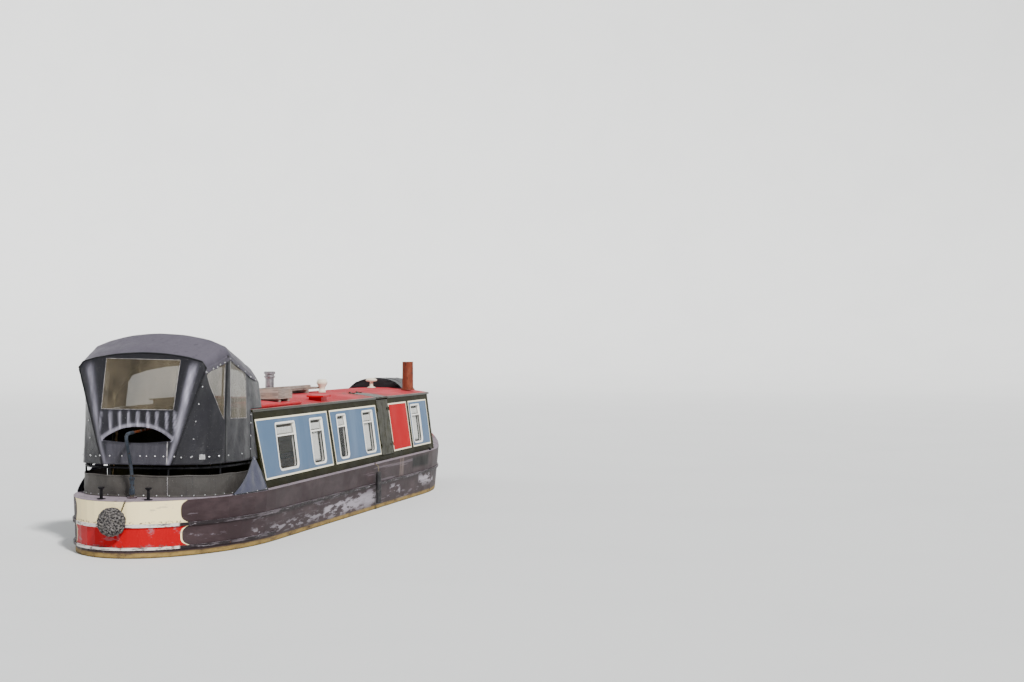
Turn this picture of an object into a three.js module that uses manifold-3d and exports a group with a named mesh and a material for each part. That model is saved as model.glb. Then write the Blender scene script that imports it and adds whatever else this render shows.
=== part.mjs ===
// A short steel narrowboat of 11 m with a pram hood over its stern deck.
// Millimetres. While it is drawn, x runs forward from the sternmost point of the hull,
// y runs to port and z runs up from the underside of the baseplate.
// The whole boat is then shifted along x, so that its origin is under the middle of the hull.
import * as THREE from "three";
import { mergeVertices } from "three/addons/utils/BufferGeometryUtils.js";
import Module from "manifold-3d";

const wasm = await Module();
wasm.setup();

const PORT = 1;
const STARBOARD = -1;
const SEAT = 0.3; // the gap where two pieces rest on each other

// Hull: heights above the underside of the baseplate, and half breadths
const HULL_END = 11050;
const HALF_BEAM = 1040;
const DECK = 1100; // gunwale height at the stern
const DECK_FORWARD = 1135; // gunwale height at the cabin's front
const DECK_BOW = 1420; // gunwale height at the stem
const STERN_ROUND = 1850; // length of the rounded counter
const SWIM_END = 1000; // where the underwater swim ends aft
const SWIM_LENGTH = 2400;
const BOW_START = 7900;
const UPPER_STRAKE = [835, 868];
const LOWER_STRAKE = [605, 632];
const STRAKE_PROUD = 20;

// Cabin
const CABIN_AFT = 1700;
const CABIN_FORE = 8720;
const CABIN_FOOT = 940; // half breadth at the gunwale
const CABIN_HEAD = 830; // half breadth under the roof
const WALL = 45;
const SIDE_TOP = 1950;
const ROOF_EDGE = 1976;
const ROOF_RISE = 70;
const ROOF_HALF = 842;
const INNER_HALF = 885; // half breadth of the space inside the hull
const FLOOR = 160;
const COUNTER_FLOOR = 560; // floor above the swim
const ENGINE_BED = 240;
const FACE_LEAN = (CABIN_FOOT - CABIN_HEAD) / (SIDE_TOP - DECK);

// Side hatch, in the starboard side and the roof above it
const HATCH_AFT = 6150;
const HATCH_FORE = 6670;
const HATCH_INBOARD = 430;

// Doors
const REAR_DOOR_HALF = 300;
const FRONT_DOOR_HALF = 290;
const DOOR_GAP = 6;
const DOOR_THICK = 26;
const KNUCKLE = 9; // radius of a hinge's knuckle
const REAR_BULKHEAD = [CABIN_AFT + 62, CABIN_AFT + 62 + WALL];
const FRONT_BULKHEAD = [CABIN_FORE + 1, CABIN_FORE + 1 + WALL];
const REAR_SILL = DECK + 12;
const FRONT_SILL = 760;

// Stern gear
const STOCK_AT = 400; // the rudder stock, forward of the sternmost point
const STOCK_TOP = DECK + 40;
const SHAFT_HEIGHT = 260;
const PROPELLER_AT = 820;

// Well deck and bow
const WELL_AFT = 8830;
const WELL_FORE = 9880;
const WELL_FLOOR = 660;
const CRATCH_AT = 9930;
const FOREDECK = 1222; // flat deck inside the bow's raised edge

const FINISHES = {
  hull: [0x4a3f40, 0.75, 0.1],
  strake: [0x35302f, 0.7, 0.2],
  baseSteel: [0x3a3634, 0.7, 0.4],
  cabinGreen: [0x35351f, 0.55, 0.1],
  panelBlue: [0x6f86a0, 0.5, 0.1],
  roofRed: [0xd9535a, 0.7, 0.1],
  brightRed: [0xcf1f2a, 0.5, 0.1],
  cream: [0xe9dfc6, 0.5, 0.1],
  window: [0x9aa4a6, 0.25, 0.1],
  canvas: [0x3c3c44, 0.85, 0.0],
  blackCanvas: [0x202024, 0.85, 0.0],
  tube: [0x9b9fa3, 0.35, 0.9],
  bluePaint: [0x6b7f92, 0.5, 0.2],
  brassRust: [0x7a4a30, 0.7, 0.5],
  greyTin: [0xa6a2a0, 0.45, 0.6],
  wood: [0x9c8f80, 0.85, 0.0],
  rope: [0x6a6660, 0.95, 0.0],
  rubber: [0x1c1c1e, 0.8, 0.0],
  bronze: [0x8a6a3c, 0.4, 0.9],
  engine: [0x4b6b5a, 0.6, 0.3],
};

const boat = new THREE.Group();

// Turns every triangle of a loose geometry over
function flipped(geometry) {
  const loose = geometry.index ? geometry.toNonIndexed() : geometry;
  const p = loose.attributes.position.array;
  for (let i = 0; i < p.length; i += 9) {
    for (let k = 0; k < 3; k += 1) {
      const held = p[i + 3 + k];
      p[i + 3 + k] = p[i + 6 + k];
      p[i + 6 + k] = held;
    }
  }
  return loose;
}

// Moves a geometry by a matrix and keeps its faces pointing out
function moved(geometry, matrix) {
  geometry.applyMatrix4(matrix);
  return matrix.determinant() < 0 ? flipped(geometry) : geometry;
}

function solid(geometry) {
  const bare = geometry.clone();
  bare.deleteAttribute("normal");
  bare.deleteAttribute("uv");
  const merged = mergeVertices(bare, 1e-3);
  return new wasm.Manifold(
    new wasm.Mesh({
      numProp: 3,
      vertProperties: new Float32Array(merged.attributes.position.array),
      triVerts: new Uint32Array(merged.index.array),
    }),
  );
}

function geometryOf(body) {
  const mesh = body.getMesh();
  const geometry = new THREE.BufferGeometry();
  geometry.setAttribute("position", new THREE.BufferAttribute(new Float32Array(mesh.vertProperties), 3));
  geometry.setIndex(new THREE.BufferAttribute(new Uint32Array(mesh.triVerts), 1));
  return geometry;
}

function joined(...geometries) {
  const bodies = geometries.map(solid);
  return geometryOf(bodies.reduce((whole, body) => whole.add(body)));
}

// What two geometries have in common
function shared(a, b) {
  return geometryOf(solid(a).intersect(solid(b)));
}

function cut(geometry, ...cutters) {
  return geometryOf(cutters.map(solid).reduce((whole, body) => whole.subtract(body), solid(geometry)));
}

function add(name, geometry, finish) {
  const [color, roughness, metalness] = FINISHES[finish];
  const mesh = new THREE.Mesh(geometry, new THREE.MeshStandardMaterial({ color, roughness, metalness }));
  mesh.name = name;
  boat.add(mesh);
}

// A box between two corners
function block([x0, x1], [y0, y1], [z0, z1]) {
  const geometry = new THREE.BoxGeometry(x1 - x0, y1 - y0, z1 - z0);
  return geometry.translate((x0 + x1) / 2, (y0 + y1) / 2, (z0 + z1) / 2);
}

// A straight round bar between two points
function bar(from, to, radius, sides = 10, endRadius = radius) {
  const a = new THREE.Vector3(...from);
  const b = new THREE.Vector3(...to);
  const geometry = new THREE.CylinderGeometry(endRadius, radius, a.distanceTo(b), sides);
  const turn = new THREE.Quaternion().setFromUnitVectors(
    new THREE.Vector3(0, 1, 0),
    b.clone().sub(a).normalize(),
  );
  geometry.applyQuaternion(turn);
  const middle = a.add(b).multiplyScalar(0.5);
  return geometry.translate(middle.x, middle.y, middle.z);
}

// A round tube along a smooth line through points
function tube(points, radius, { sides = 8, steps = 24, closed = false, tension = 0.5 } = {}) {
  const path = new THREE.CatmullRomCurve3(
    points.map((p) => new THREE.Vector3(...p)),
    closed,
    "catmullrom",
    tension,
  );
  const section = new THREE.Shape();
  section.absarc(0, 0, radius, 0, Math.PI * 2, false);
  return new THREE.ExtrudeGeometry(section, {
    steps,
    curveSegments: Math.max(2, Math.round(sides / 2)),
    extrudePath: path,
    bevelEnabled: false,
  });
}

function outline(points) {
  return new THREE.Shape(points.map(([a, b]) => new THREE.Vector2(a, b)));
}

// An outline in x and z, drawn out along y
function plateXZ(shape, [y0, y1], segments = 2) {
  const geometry = new THREE.ExtrudeGeometry(shape, {
    depth: y1 - y0,
    bevelEnabled: false,
    curveSegments: segments,
  });
  const matrix = new THREE.Matrix4().set(1, 0, 0, 0, 0, 0, 1, y0, 0, 1, 0, 0, 0, 0, 0, 1);
  return moved(geometry, matrix);
}

// An outline in y and z, drawn out along x
function plateYZ(shape, [x0, x1], segments = 4) {
  const geometry = new THREE.ExtrudeGeometry(shape, {
    depth: x1 - x0,
    bevelEnabled: false,
    curveSegments: segments,
  });
  const matrix = new THREE.Matrix4().set(0, 0, 1, x0, 1, 0, 0, 0, 0, 1, 0, 0, 0, 0, 0, 1);
  return moved(geometry, matrix);
}

// An outline in x and y, drawn out along z
function plateXY(shape, [z0, z1], segments = 4) {
  const geometry = new THREE.ExtrudeGeometry(shape, {
    depth: z1 - z0,
    bevelEnabled: false,
    curveSegments: segments,
  });
  return geometry.translate(0, 0, z0);
}

// A solid of revolution about a vertical line; its profile lists radius and height
function turned(profile, x, y, sides = 16) {
  const geometry = new THREE.LatheGeometry(
    profile.map(([r, z]) => new THREE.Vector2(r, z)),
    sides,
  );
  return geometry.rotateX(Math.PI / 2).translate(x, y, 0);
}

// A skin between rings of equal point counts, with its two ends closed by rungs
// that join each starboard point to its port fellow
function lofted(rings) {
  const count = rings[0].length;
  const triangles = [];
  rings.slice(1).forEach((upper, r) => {
    const lower = rings[r];
    for (let i = 0; i < count; i += 1) {
      const n = (i + 1) % count;
      triangles.push(lower[i], lower[n], upper[n], lower[i], upper[n], upper[i]);
    }
  });
  const cap = (ring, up) => {
    for (let i = 0; i < count / 2; i += 1) {
      const a = ring[i];
      const b = ring[i + 1];
      const c = ring[(count - i - 1) % count];
      const d = ring[(count - i) % count];
      const faces = i === 0 ? [a, b, c] : i + 1 === count / 2 ? [a, b, d] : [a, b, c, a, c, d];
      const turnedFaces = [];
      for (let f = 0; f < faces.length; f += 3) {
        turnedFaces.push(faces[f], ...(up ? [faces[f + 1], faces[f + 2]] : [faces[f + 2], faces[f + 1]]));
      }
      triangles.push(...turnedFaces);
    }
  };
  cap(rings[0], false);
  cap(rings[rings.length - 1], true);
  const geometry = new THREE.BufferGeometry();
  const positions = new Float32Array(triangles.flatMap((v) => [v.x, v.y, v.z]));
  geometry.setAttribute("position", new THREE.BufferAttribute(positions, 3));
  return geometry;
}

// Hull form

// Height of the gunwale at a station
function sheer(x) {
  if (x <= CABIN_AFT) {
    return DECK;
  }
  const forward = DECK + ((DECK_FORWARD - DECK) * (x - CABIN_AFT)) / (CABIN_FORE + 50 - CABIN_AFT);
  if (x <= CABIN_FORE + 50) {
    return forward;
  }
  const u = (x - CABIN_FORE - 50) / (HULL_END - CABIN_FORE - 50);
  return DECK_FORWARD + (DECK_BOW - DECK_FORWARD) * u ** 1.6;
}

const STERN_TURNS = [0, 7, 14, 21, 28, 35, 42, 50, 58, 66, 74, 82, 90];
const MID_STATIONS = [3400, 5600];
const BOW_SHARES = [0, 0.14, 0.276, 0.42, 0.56, 0.68, 0.78, 0.87, 0.94, 0.98, 1];

// The hull's outlines from the baseplate up.
// Columns: height, half breadth, aft end, kind of stern, bow end
const LEVELS = [
  [0, 985, SWIM_END, "swim", 10500],
  [455, 992, SWIM_END - 40, "swim", 10700],
  [490, 1006, 0, "counter", 10720],
  [LOWER_STRAKE[0], 1012, 0, "counter", 10780],
  [LOWER_STRAKE[1], 1013, 0, "counter", 10795],
  [UPPER_STRAKE[0], 1024, 0, "counter", 10900],
  [UPPER_STRAKE[1], 1026, 0, "counter", 10915],
  ["sheer", HALF_BEAM, 0, "counter", HULL_END],
];

// Starboard half of an outline, from the stern's middle to the stem
function halfOutline([height, half, aft, kind, bowEnd]) {
  const points = STERN_TURNS.map((degrees) => {
    const angle = (degrees * Math.PI) / 180;
    const run = 1 - Math.cos(angle);
    if (kind === "swim") {
      return [aft + SWIM_LENGTH * run, degrees === 0 ? 0 : 25 + (half - 25) * Math.sin((run * Math.PI) / 2)];
    }
    return [aft + STERN_ROUND * run, half * Math.sin(angle)];
  });
  MID_STATIONS.forEach((x) => points.push([x, half]));
  BOW_SHARES.forEach((u) => {
    points.push([BOW_START + u * (bowEnd - BOW_START), u === 1 ? 0 : half * (1 - u ** 2.1) + 18 * u]);
  });
  return points.map(([x, y]) => new THREE.Vector3(x, -y, height === "sheer" ? sheer(x) : height));
}

const GUNWALE = halfOutline(LEVELS[LEVELS.length - 1]);

// Height of the built gunwale at a station, which runs straight between the outline's points
function gunwale(x) {
  const after = GUNWALE.findIndex((point) => point.x >= x);
  const [a, b] = [GUNWALE[Math.max(0, after - 1)], GUNWALE[after]];
  return a === b ? a.z : a.z + ((b.z - a.z) * (x - a.x)) / (b.x - a.x);
}

// The whole outline, moved outward by an amount
function ring(level, outward = 0) {
  const starboard = halfOutline(level);
  const port = starboard.slice(1, -1).reverse().map((v) => new THREE.Vector3(v.x, -v.y, v.z));
  const all = [...starboard, ...port];
  if (outward === 0) {
    return all;
  }
  return all.map((v, i) => {
    const before = all[(i + all.length - 1) % all.length];
    const after = all[(i + 1) % all.length];
    const run = new THREE.Vector2(after.x - before.x, after.y - before.y).normalize();
    return new THREE.Vector3(v.x + run.y * outward, v.y - run.x * outward, v.z);
  });
}

// A band of steel round the hull between two of its outlines.
// With stations given, it covers only that many of them each side of the stern.
function strake(lower, upper, stations = null) {
  const rings = [ring(lower, SEAT), ring(lower, STRAKE_PROUD), ring(upper, STRAKE_PROUD), ring(upper, SEAT)];
  const total = rings[0].length;
  const order = [];
  if (stations === null) {
    for (let i = 0; i <= total; i += 1) {
      order.push(i % total);
    }
  } else {
    for (let i = -stations; i <= stations; i += 1) {
      order.push((i + total) % total);
    }
  }
  const triangles = [];
  for (let k = 1; k < order.length; k += 1) {
    for (let r = 0; r < 4; r += 1) {
      const a = rings[r][order[k - 1]];
      const b = rings[r][order[k]];
      const c = rings[(r + 1) % 4][order[k]];
      const d = rings[(r + 1) % 4][order[k - 1]];
      triangles.push(a, b, c, a, c, d);
    }
  }
  if (stations !== null) {
    const [first, last] = [order[0], order[order.length - 1]];
    triangles.push(rings[0][first], rings[1][first], rings[2][first]);
    triangles.push(rings[0][first], rings[2][first], rings[3][first]);
    triangles.push(rings[0][last], rings[2][last], rings[1][last]);
    triangles.push(rings[0][last], rings[3][last], rings[2][last]);
  }
  const geometry = new THREE.BufferGeometry();
  const positions = new Float32Array(triangles.flatMap((v) => [v.x, v.y, v.z]));
  geometry.setAttribute("position", new THREE.BufferAttribute(positions, 3));
  return geometry;
}

// Half breadth at the gunwale, forward of the parallel middle
function bowHalf(x) {
  const u = Math.max(0, (x - BOW_START) / (HULL_END - BOW_START));
  return HALF_BEAM * (1 - u ** 2.1) + 18 * u;
}

const GAS_LOCKER = { aft: 10050, fore: 10500, half: 190, floor: 800 };

// Sections of the hull, whose plates are welded together where its floor steps.
// Columns: name, aft end, fore end
const HULL_SECTIONS = [
  ["hull_aft", -100, 3150],
  ["hull_middle", 3150 + SEAT, CABIN_FORE - 5],
  ["hull_fore", CABIN_FORE - 5 + SEAT, HULL_END + 100],
];

function hullSection(aft, fore) {
  const skin = lofted(LEVELS.map((level) => ring(level)));
  const above = DECK_BOW + 100;
  const wellStations = [WELL_AFT, 9200, 9550, WELL_FORE];
  const wellSide = wellStations.map((x) => [x, bowHalf(x) - 115]);
  const well = outline([...wellSide.map(([x, y]) => [x, -y]), ...wellSide.reverse()]);
  const deckSide = [CRATCH_AT + 40, 10250, 10500, 10700, 10850].map((x) => [x, bowHalf(x) - 70]);
  const foredeck = outline([...deckSide.map(([x, y]) => [x, -y]), ...deckSide.reverse()]);
  return cut(
    joined(
      skin,
      block([150, SWIM_END + 200], [-35, 35], [0, 28]),
      bar([SWIM_END - 60, 0, SHAFT_HEIGHT], [SWIM_END + 300, 0, SHAFT_HEIGHT], 38, 12),
      bar([STOCK_AT, 0, DECK - 20], [STOCK_AT, 0, DECK + 14], 52, 14),
    ),
    block([3150, 8200], [-INNER_HALF, INNER_HALF], [FLOOR, above]),
    block([8150, CABIN_FORE - 5], [-760, 760], [FLOOR, above]),
    block([CABIN_AFT + WALL, 3200], [-INNER_HALF, INNER_HALF], [COUNTER_FLOOR, above]),
    block([8150, CABIN_FORE - 5], [-870, 870], [COUNTER_FLOOR, above]),
    block([1790, 3200], [-300, 300], [ENGINE_BED, above]),
    block(
      [CABIN_FORE - 40, FRONT_BULKHEAD[1] + 1],
      [-FRONT_DOOR_HALF, FRONT_DOOR_HALF],
      [FRONT_SILL - 8, above],
    ),
    block(
      [FRONT_BULKHEAD[1], WELL_AFT + 40],
      [-FRONT_DOOR_HALF - 50, FRONT_DOOR_HALF + 50],
      [FRONT_SILL - 8, above],
    ),
    plateXY(well, [WELL_FLOOR, above]),
    plateXY(foredeck, [FOREDECK, above]),
    block([GAS_LOCKER.aft, GAS_LOCKER.fore], [-GAS_LOCKER.half, GAS_LOCKER.half], [GAS_LOCKER.floor, above]),
    bar([STOCK_AT, 0, 400], [STOCK_AT, 0, DECK + 60], 28, 12),
    bar([SWIM_END - 80, 0, SHAFT_HEIGHT], [SWIM_END + 20, 0, SHAFT_HEIGHT], 22, 12),
    block([-300, aft], [-HALF_BEAM - 100, HALF_BEAM + 100], [-100, above + 500]),
    block([fore, HULL_END + 300], [-HALF_BEAM - 100, HALF_BEAM + 100], [-100, above + 500]),
  );
}

// Cabin

// Puts a piece drawn on the cabin's side, with y its distance out from the outer face, in its place
function onSide(geometry, side) {
  const matrix = new THREE.Matrix4().set(
    1, 0, 0, 0,
    0, side, -side * FACE_LEAN, side * (CABIN_FOOT + FACE_LEAN * DECK),
    0, 0, 1, 0,
    0, 0, 0, 1,
  );
  return moved(geometry, matrix);
}

// An upright rectangle with its lower corners rounded more than its upper ones
function windowShape([x0, x1], [z0, z1], grow = 0) {
  const [a, b, c, d] = [x0 - grow, x1 + grow, z0 - grow, z1 + grow];
  const low = 55 + grow;
  const high = 18 + grow;
  const shape = new THREE.Shape();
  shape.moveTo(a + low, c);
  shape.lineTo(b - low, c);
  shape.absarc(b - low, c + low, low, -Math.PI / 2, 0, false);
  shape.lineTo(b, d - high);
  shape.absarc(b - high, d - high, high, 0, Math.PI / 2, false);
  shape.lineTo(a + high, d);
  shape.absarc(a + high, d - high, high, Math.PI / 2, Math.PI, false);
  shape.lineTo(a, c + low);
  shape.absarc(a + low, c + low, low, Math.PI, Math.PI * 1.5, false);
  return shape;
}

// Windows of each side. Columns: aft edge, fore edge, sill height, head height
const WINDOWS = [
  [2300, 2910, 1272, 1793],
  [3450, 3880, 1262, 1794],
  [4450, 4780, 1266, 1801],
  [5490, 5910, 1270, 1806],
  [7760, 8190, 1280, 1812],
];
const FRAME_LAP = 22;
const FRAME_PROUD = 9;

function cabinSide(side) {
  const foot = (x) => gunwale(x) + SEAT;
  const [sillAft, sillFore] = [foot(HATCH_AFT) + 60, foot(HATCH_FORE) + 60];
  const notch = side === STARBOARD
    ? [[HATCH_AFT, SIDE_TOP], [HATCH_AFT, sillAft], [HATCH_FORE, sillFore], [HATCH_FORE, SIDE_TOP]]
    : [];
  const shape = outline([
    [CABIN_AFT + 60, foot(CABIN_AFT + 60)],
    [CABIN_FORE, foot(CABIN_FORE)],
    [CABIN_FORE, SIDE_TOP],
    ...notch.slice().reverse(),
    [CABIN_AFT - 30, SIDE_TOP],
  ]);
  WINDOWS.forEach(([x0, x1, z0, z1]) => shape.holes.push(windowShape([x0, x1], [z0, z1])));
  return onSide(plateXZ(shape, [-WALL, 0]), side);
}

// A window: a flange over the wall, a sleeve through it, a pane and a bar under the top light
function windowUnit([x0, x1, z0, z1], side) {
  const flange = windowShape([x0, x1], [z0, z1], FRAME_LAP);
  flange.holes.push(windowShape([x0, x1], [z0, z1], -14));
  const sleeve = windowShape([x0, x1], [z0, z1], -0.6);
  sleeve.holes.push(windowShape([x0, x1], [z0, z1], -14));
  const pane = windowShape([x0, x1], [z0, z1], -8);
  const barHeight = z1 - 0.27 * (z1 - z0);
  return onSide(
    joined(
      plateXZ(flange, [SEAT, FRAME_PROUD]),
      plateXZ(sleeve, [-WALL, SEAT + 1]),
      plateXZ(pane, [-20, -14]),
      block([x0 + 8, x1 - 8], [-24, 2], [barHeight - 12, barHeight + 12]),
    ),
    side,
  );
}

// Height of the roof's top at a distance from the middle
function roofTop(y) {
  return ROOF_EDGE + ROOF_RISE * (1 - (y / ROOF_HALF) ** 2);
}

// Seat on the built roof, which runs straight between eight facets
function onRoof(y) {
  const facet = ROOF_HALF / 4;
  const inner = Math.floor(Math.abs(y) / facet) * facet;
  const share = (Math.abs(y) - inner) / facet;
  return roofTop(inner) + share * (roofTop(inner + facet) - roofTop(inner)) + SEAT;
}

const ROOF_SHARES = [-1, -0.75, -0.5, -0.25, 0, 0.25, 0.5, 0.75, 1];

// The roof's arched underside between the cabin sides, from starboard to port
function underside() {
  const inner = CABIN_HEAD - WALL - 12;
  return ROOF_SHARES.map((u) => [u * inner, SIDE_TOP + SEAT + (ROOF_RISE - 8) * (1 - u * u)]);
}

function roofShape() {
  const top = ROOF_SHARES.map((u) => [-u * ROOF_HALF, roofTop(u * ROOF_HALF)]);
  return outline([[ROOF_HALF, SIDE_TOP + SEAT], ...top, [-ROOF_HALF, SIDE_TOP + SEAT], ...underside()]);
}

const REAR_OPENING = { aft: CABIN_AFT - 80, fore: CABIN_AFT + 640, half: 330 };
const RUNNER_TOP = 2077.4; // the slide hatch runs on this

function cabinRoof() {
  const runner = (y) => block([CABIN_AFT, CABIN_AFT + 1330], [y - 15, y + 15], [roofTop(y) - 12, RUNNER_TOP]);
  return cut(
    joined(
      plateYZ(roofShape(), [CABIN_AFT - 60, CABIN_FORE + 60]),
      runner(REAR_OPENING.half + 20),
      runner(-REAR_OPENING.half - 20),
    ),
    block([REAR_OPENING.aft, REAR_OPENING.fore], [-REAR_OPENING.half, REAR_OPENING.half], [1900, 2200]),
    block([HATCH_AFT, HATCH_FORE], [-ROOF_HALF - 10, -HATCH_INBOARD], [1900, 2200]),
  );
}

// A bulkhead across the cabin, with its doorway open at the foot
function bulkhead([x0, x1], doorHalf, doorTop) {
  const foot = gunwale(x1) + SEAT;
  const inside = (z) => CABIN_FOOT - WALL - SEAT - FACE_LEAN * (z - DECK);
  const arch = underside().reverse().map(([y, z]) => [y, z - SEAT]);
  return plateYZ(
    outline([
      [inside(foot), foot],
      [inside(SIDE_TOP), SIDE_TOP],
      ...arch,
      [-inside(SIDE_TOP), SIDE_TOP],
      [-inside(foot), foot],
      [-doorHalf, foot],
      [-doorHalf, doorTop],
      [doorHalf, doorTop],
      [doorHalf, foot],
    ]),
    [x0, x1],
  );
}

const DOOR_HEAD = 1935;

// One leaf of a pair of doors, outside its bulkhead.
// Two knuckles at its outer edge turn against the bulkhead's face; away is the way it opens.
function doorLeaf(face, away, half, side, [z0, z1]) {
  const axis = face + away * (KNUCKLE + SEAT);
  const xs = [axis, axis + away * DOOR_THICK].sort((a, b) => a - b);
  const ys = [side * 3, side * (half - DOOR_GAP)].sort((a, b) => a - b);
  const hinge = side * (half + 2);
  const knuckle = (z) => bar([axis, hinge, z - 30], [axis, hinge, z + 30], KNUCKLE, 10);
  return joined(block(xs, ys, [z0, z1]), knuckle(z0 + 150), knuckle(z1 - 150));
}

// A leaf of the side hatch, on the cabin's starboard face, with its straps and knuckles
function sideDoor(aftLeaf) {
  const middle = (HATCH_AFT + HATCH_FORE) / 2;
  const edges = aftLeaf ? [HATCH_AFT + DOOR_GAP, middle - 3] : [middle + 3, HATCH_FORE - DOOR_GAP];
  const axis = aftLeaf ? HATCH_AFT - 2 : HATCH_FORE + 2;
  const inward = aftLeaf ? 1 : -1;
  const [low, high] = [gunwale(HATCH_FORE) + 68, SIDE_TOP - 12];
  const hinge = (z) => [
    bar([axis, KNUCKLE + SEAT, z - 25], [axis, KNUCKLE + SEAT, z + 25], KNUCKLE, 10),
    block([axis + inward * 2, axis + inward * 80].sort((a, b) => a - b), [2, 11], [z - 16, z + 16]),
  ];
  const leaf = block(edges, [-26, 4], [low, high]);
  return onSide(joined(leaf, ...hinge(low + 130), ...hinge(high - 130)), STARBOARD);
}

// The part of the roof over the side hatch, hinged along its inboard edge
function sideFlap() {
  const axis = [-HATCH_INBOARD - 2, onRoof(HATCH_INBOARD) + KNUCKLE];
  const top = [0, 0.33, 0.67, 1].map((u) => {
    const y = -HATCH_INBOARD - DOOR_GAP - u * (ROOF_HALF - HATCH_INBOARD - 4);
    return [y, roofTop(y) + 2];
  });
  const under = top.map(([y, z]) => [y, z - 22]).reverse();
  const hinge = (x) => [
    bar([x - 30, ...axis], [x + 30, ...axis], KNUCKLE, 10),
    block([x - 16, x + 16], [axis[0] - 70, axis[0] - 4], [axis[1] - 20, axis[1] - 3]),
  ];
  return joined(
    plateYZ(outline([...top, ...under]), [HATCH_AFT + DOOR_GAP, HATCH_FORE - DOOR_GAP]),
    ...hinge(HATCH_AFT + 110),
    ...hinge(HATCH_FORE - 110),
  );
}

function slideHatch() {
  const half = REAR_OPENING.half + 60;
  const crown = 2108;
  const drop = 18;
  const shares = [-1, -0.5, 0, 0.5, 1];
  const top = shares.map((u) => [u * half, crown - drop * u * u]);
  const under = shares.slice().reverse().map((u) => [u * half, crown - 14 - drop * u * u]);
  return plateYZ(outline([...top, ...under]), [CABIN_AFT - 40, CABIN_AFT + 680]);
}

// Stern gear

function rudderBlade() {
  const blade = outline([
    [120, 70],
    [620, 70],
    [620, 360],
    [560, 430],
    [180, 430],
    [120, 360],
  ]);
  return joined(
    plateXZ(blade, [-6, 6]),
    bar([STOCK_AT, 0, 28 + SEAT], [STOCK_AT, 0, STOCK_TOP], 22, 12),
  );
}

function tillerNeck() {
  const foot = STOCK_TOP - DECK + SEAT;
  const collar = [[24, 190], [31, 194], [31, 214], [22, 220]];
  const post = [[0, foot], [30, foot], [30, 96], [24, 104], ...collar, [0, 220]];
  return joined(
    turned(post.map(([r, up]) => [r, DECK + up]), STOCK_AT, 0, 12),
    tube(
      [[STOCK_AT, 0, DECK + 205], [STOCK_AT - 18, 0, DECK + 300], [STOCK_AT - 90, 0, DECK + 500],
        [STOCK_AT - 132, 0, DECK + 622], [STOCK_AT - 120, 0, DECK + 662], [STOCK_AT - 70, 0, DECK + 676],
        [STOCK_AT + 20, 0, DECK + 680]],
      19,
      { sides: 8, steps: 26 },
    ),
  );
}

function tillerBar() {
  return joined(
    bar([STOCK_AT + 20.5, 0, DECK + 680], [STOCK_AT + 560, 0, DECK + 712], 14, 8),
    bar([STOCK_AT + 540, 0, DECK + 711], [STOCK_AT + 680, 0, DECK + 719], 19, 8, 15),
  );
}

function propeller() {
  const parts = [
    bar([PROPELLER_AT - 50, 0, SHAFT_HEIGHT], [PROPELLER_AT + 50, 0, SHAFT_HEIGHT], 34, 12),
    bar([PROPELLER_AT - 70, 0, SHAFT_HEIGHT], [SWIM_END + 20 - SEAT, 0, SHAFT_HEIGHT], 16, 10),
  ];
  for (let k = 0; k < 3; k += 1) {
    const blade = outline([[-18, 20], [-70, 95], [-52, 160], [0, 182], [52, 160], [70, 95], [18, 20]]);
    const leaf = plateYZ(blade, [-4, 4]);
    leaf.rotateZ(0.62);
    leaf.rotateX((k * 2 * Math.PI) / 3);
    parts.push(leaf.translate(PROPELLER_AT, 0, SHAFT_HEIGHT));
  }
  return joined(...parts);
}

// A mooring post with a broad head, on the deck
function dolly(x, y, deck) {
  const z = deck + SEAT;
  return turned(
    [[0, z], [45, z], [45, z + 8], [17, z + 12], [15, z + 100], [33, z + 112], [35, z + 128], [0, z + 128]],
    x,
    y,
    12,
  );
}

// The stern rail, and the bows that hold up the hood

// Points of the rail in plan, from the cabin round the stern to the cabin
const RAIL_PLAN = [
  [1560, 835],
  [1250, 825],
  [900, 770],
  [680, 600],
  [570, 330],
  [545, 0],
];
const RAIL_HEIGHT = 1405;

function bothSides(points) {
  return [...points, ...points.slice(0, -1).reverse().map(([x, y]) => [x, -y])];
}

// The hood's roof. Columns: station, half breadth, corner and crown heights
const HOOD_ROOF = [
  [500, 730, 2466, 2571],
  [640, 730, 2500, 2612],
  [1100, 800, 2650, 2815],
  [1850, 795, 2400, 2560],
  [1960, 790, 2330, 2470],
];

// The hood's wall, from the middle of the stern to its front.
// Columns: station and half breadth at the hem; station, half breadth and height at the eave
const HOOD_WALL = [
  [500, 0, 640, 0, 2600],
  [500, 200, 640, 380, 2575],
  [505, 390, 640, 722, 2440],
  [625, 600, 824, 758, 2500],
  [700, 700, 925, 773, 2533],
  [900, 790, 1100, 800, 2590],
  [1250, 848, 1475, 798, 2465],
  [1560, 872, 1760, 796, 2370],
  [1960, 885, 1960, 790, 2270],
];
const HEM = 1440;

// Half breadth of the hood's wall at a station and a height
function hoodWallAt(x, z) {
  const row = HOOD_WALL.map(([x0, y0, x1, y1, top]) => {
    const share = (z - HEM) / (top - HEM);
    return [x0 + share * (x1 - x0), y0 + share * (y1 - y0)];
  });
  const after = row.findIndex((point) => point[0] >= x);
  const [a, b] = [row[after - 1], row[after]];
  return a[1] + ((b[1] - a[1]) * (x - a[0])) / (b[0] - a[0]);
}

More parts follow.
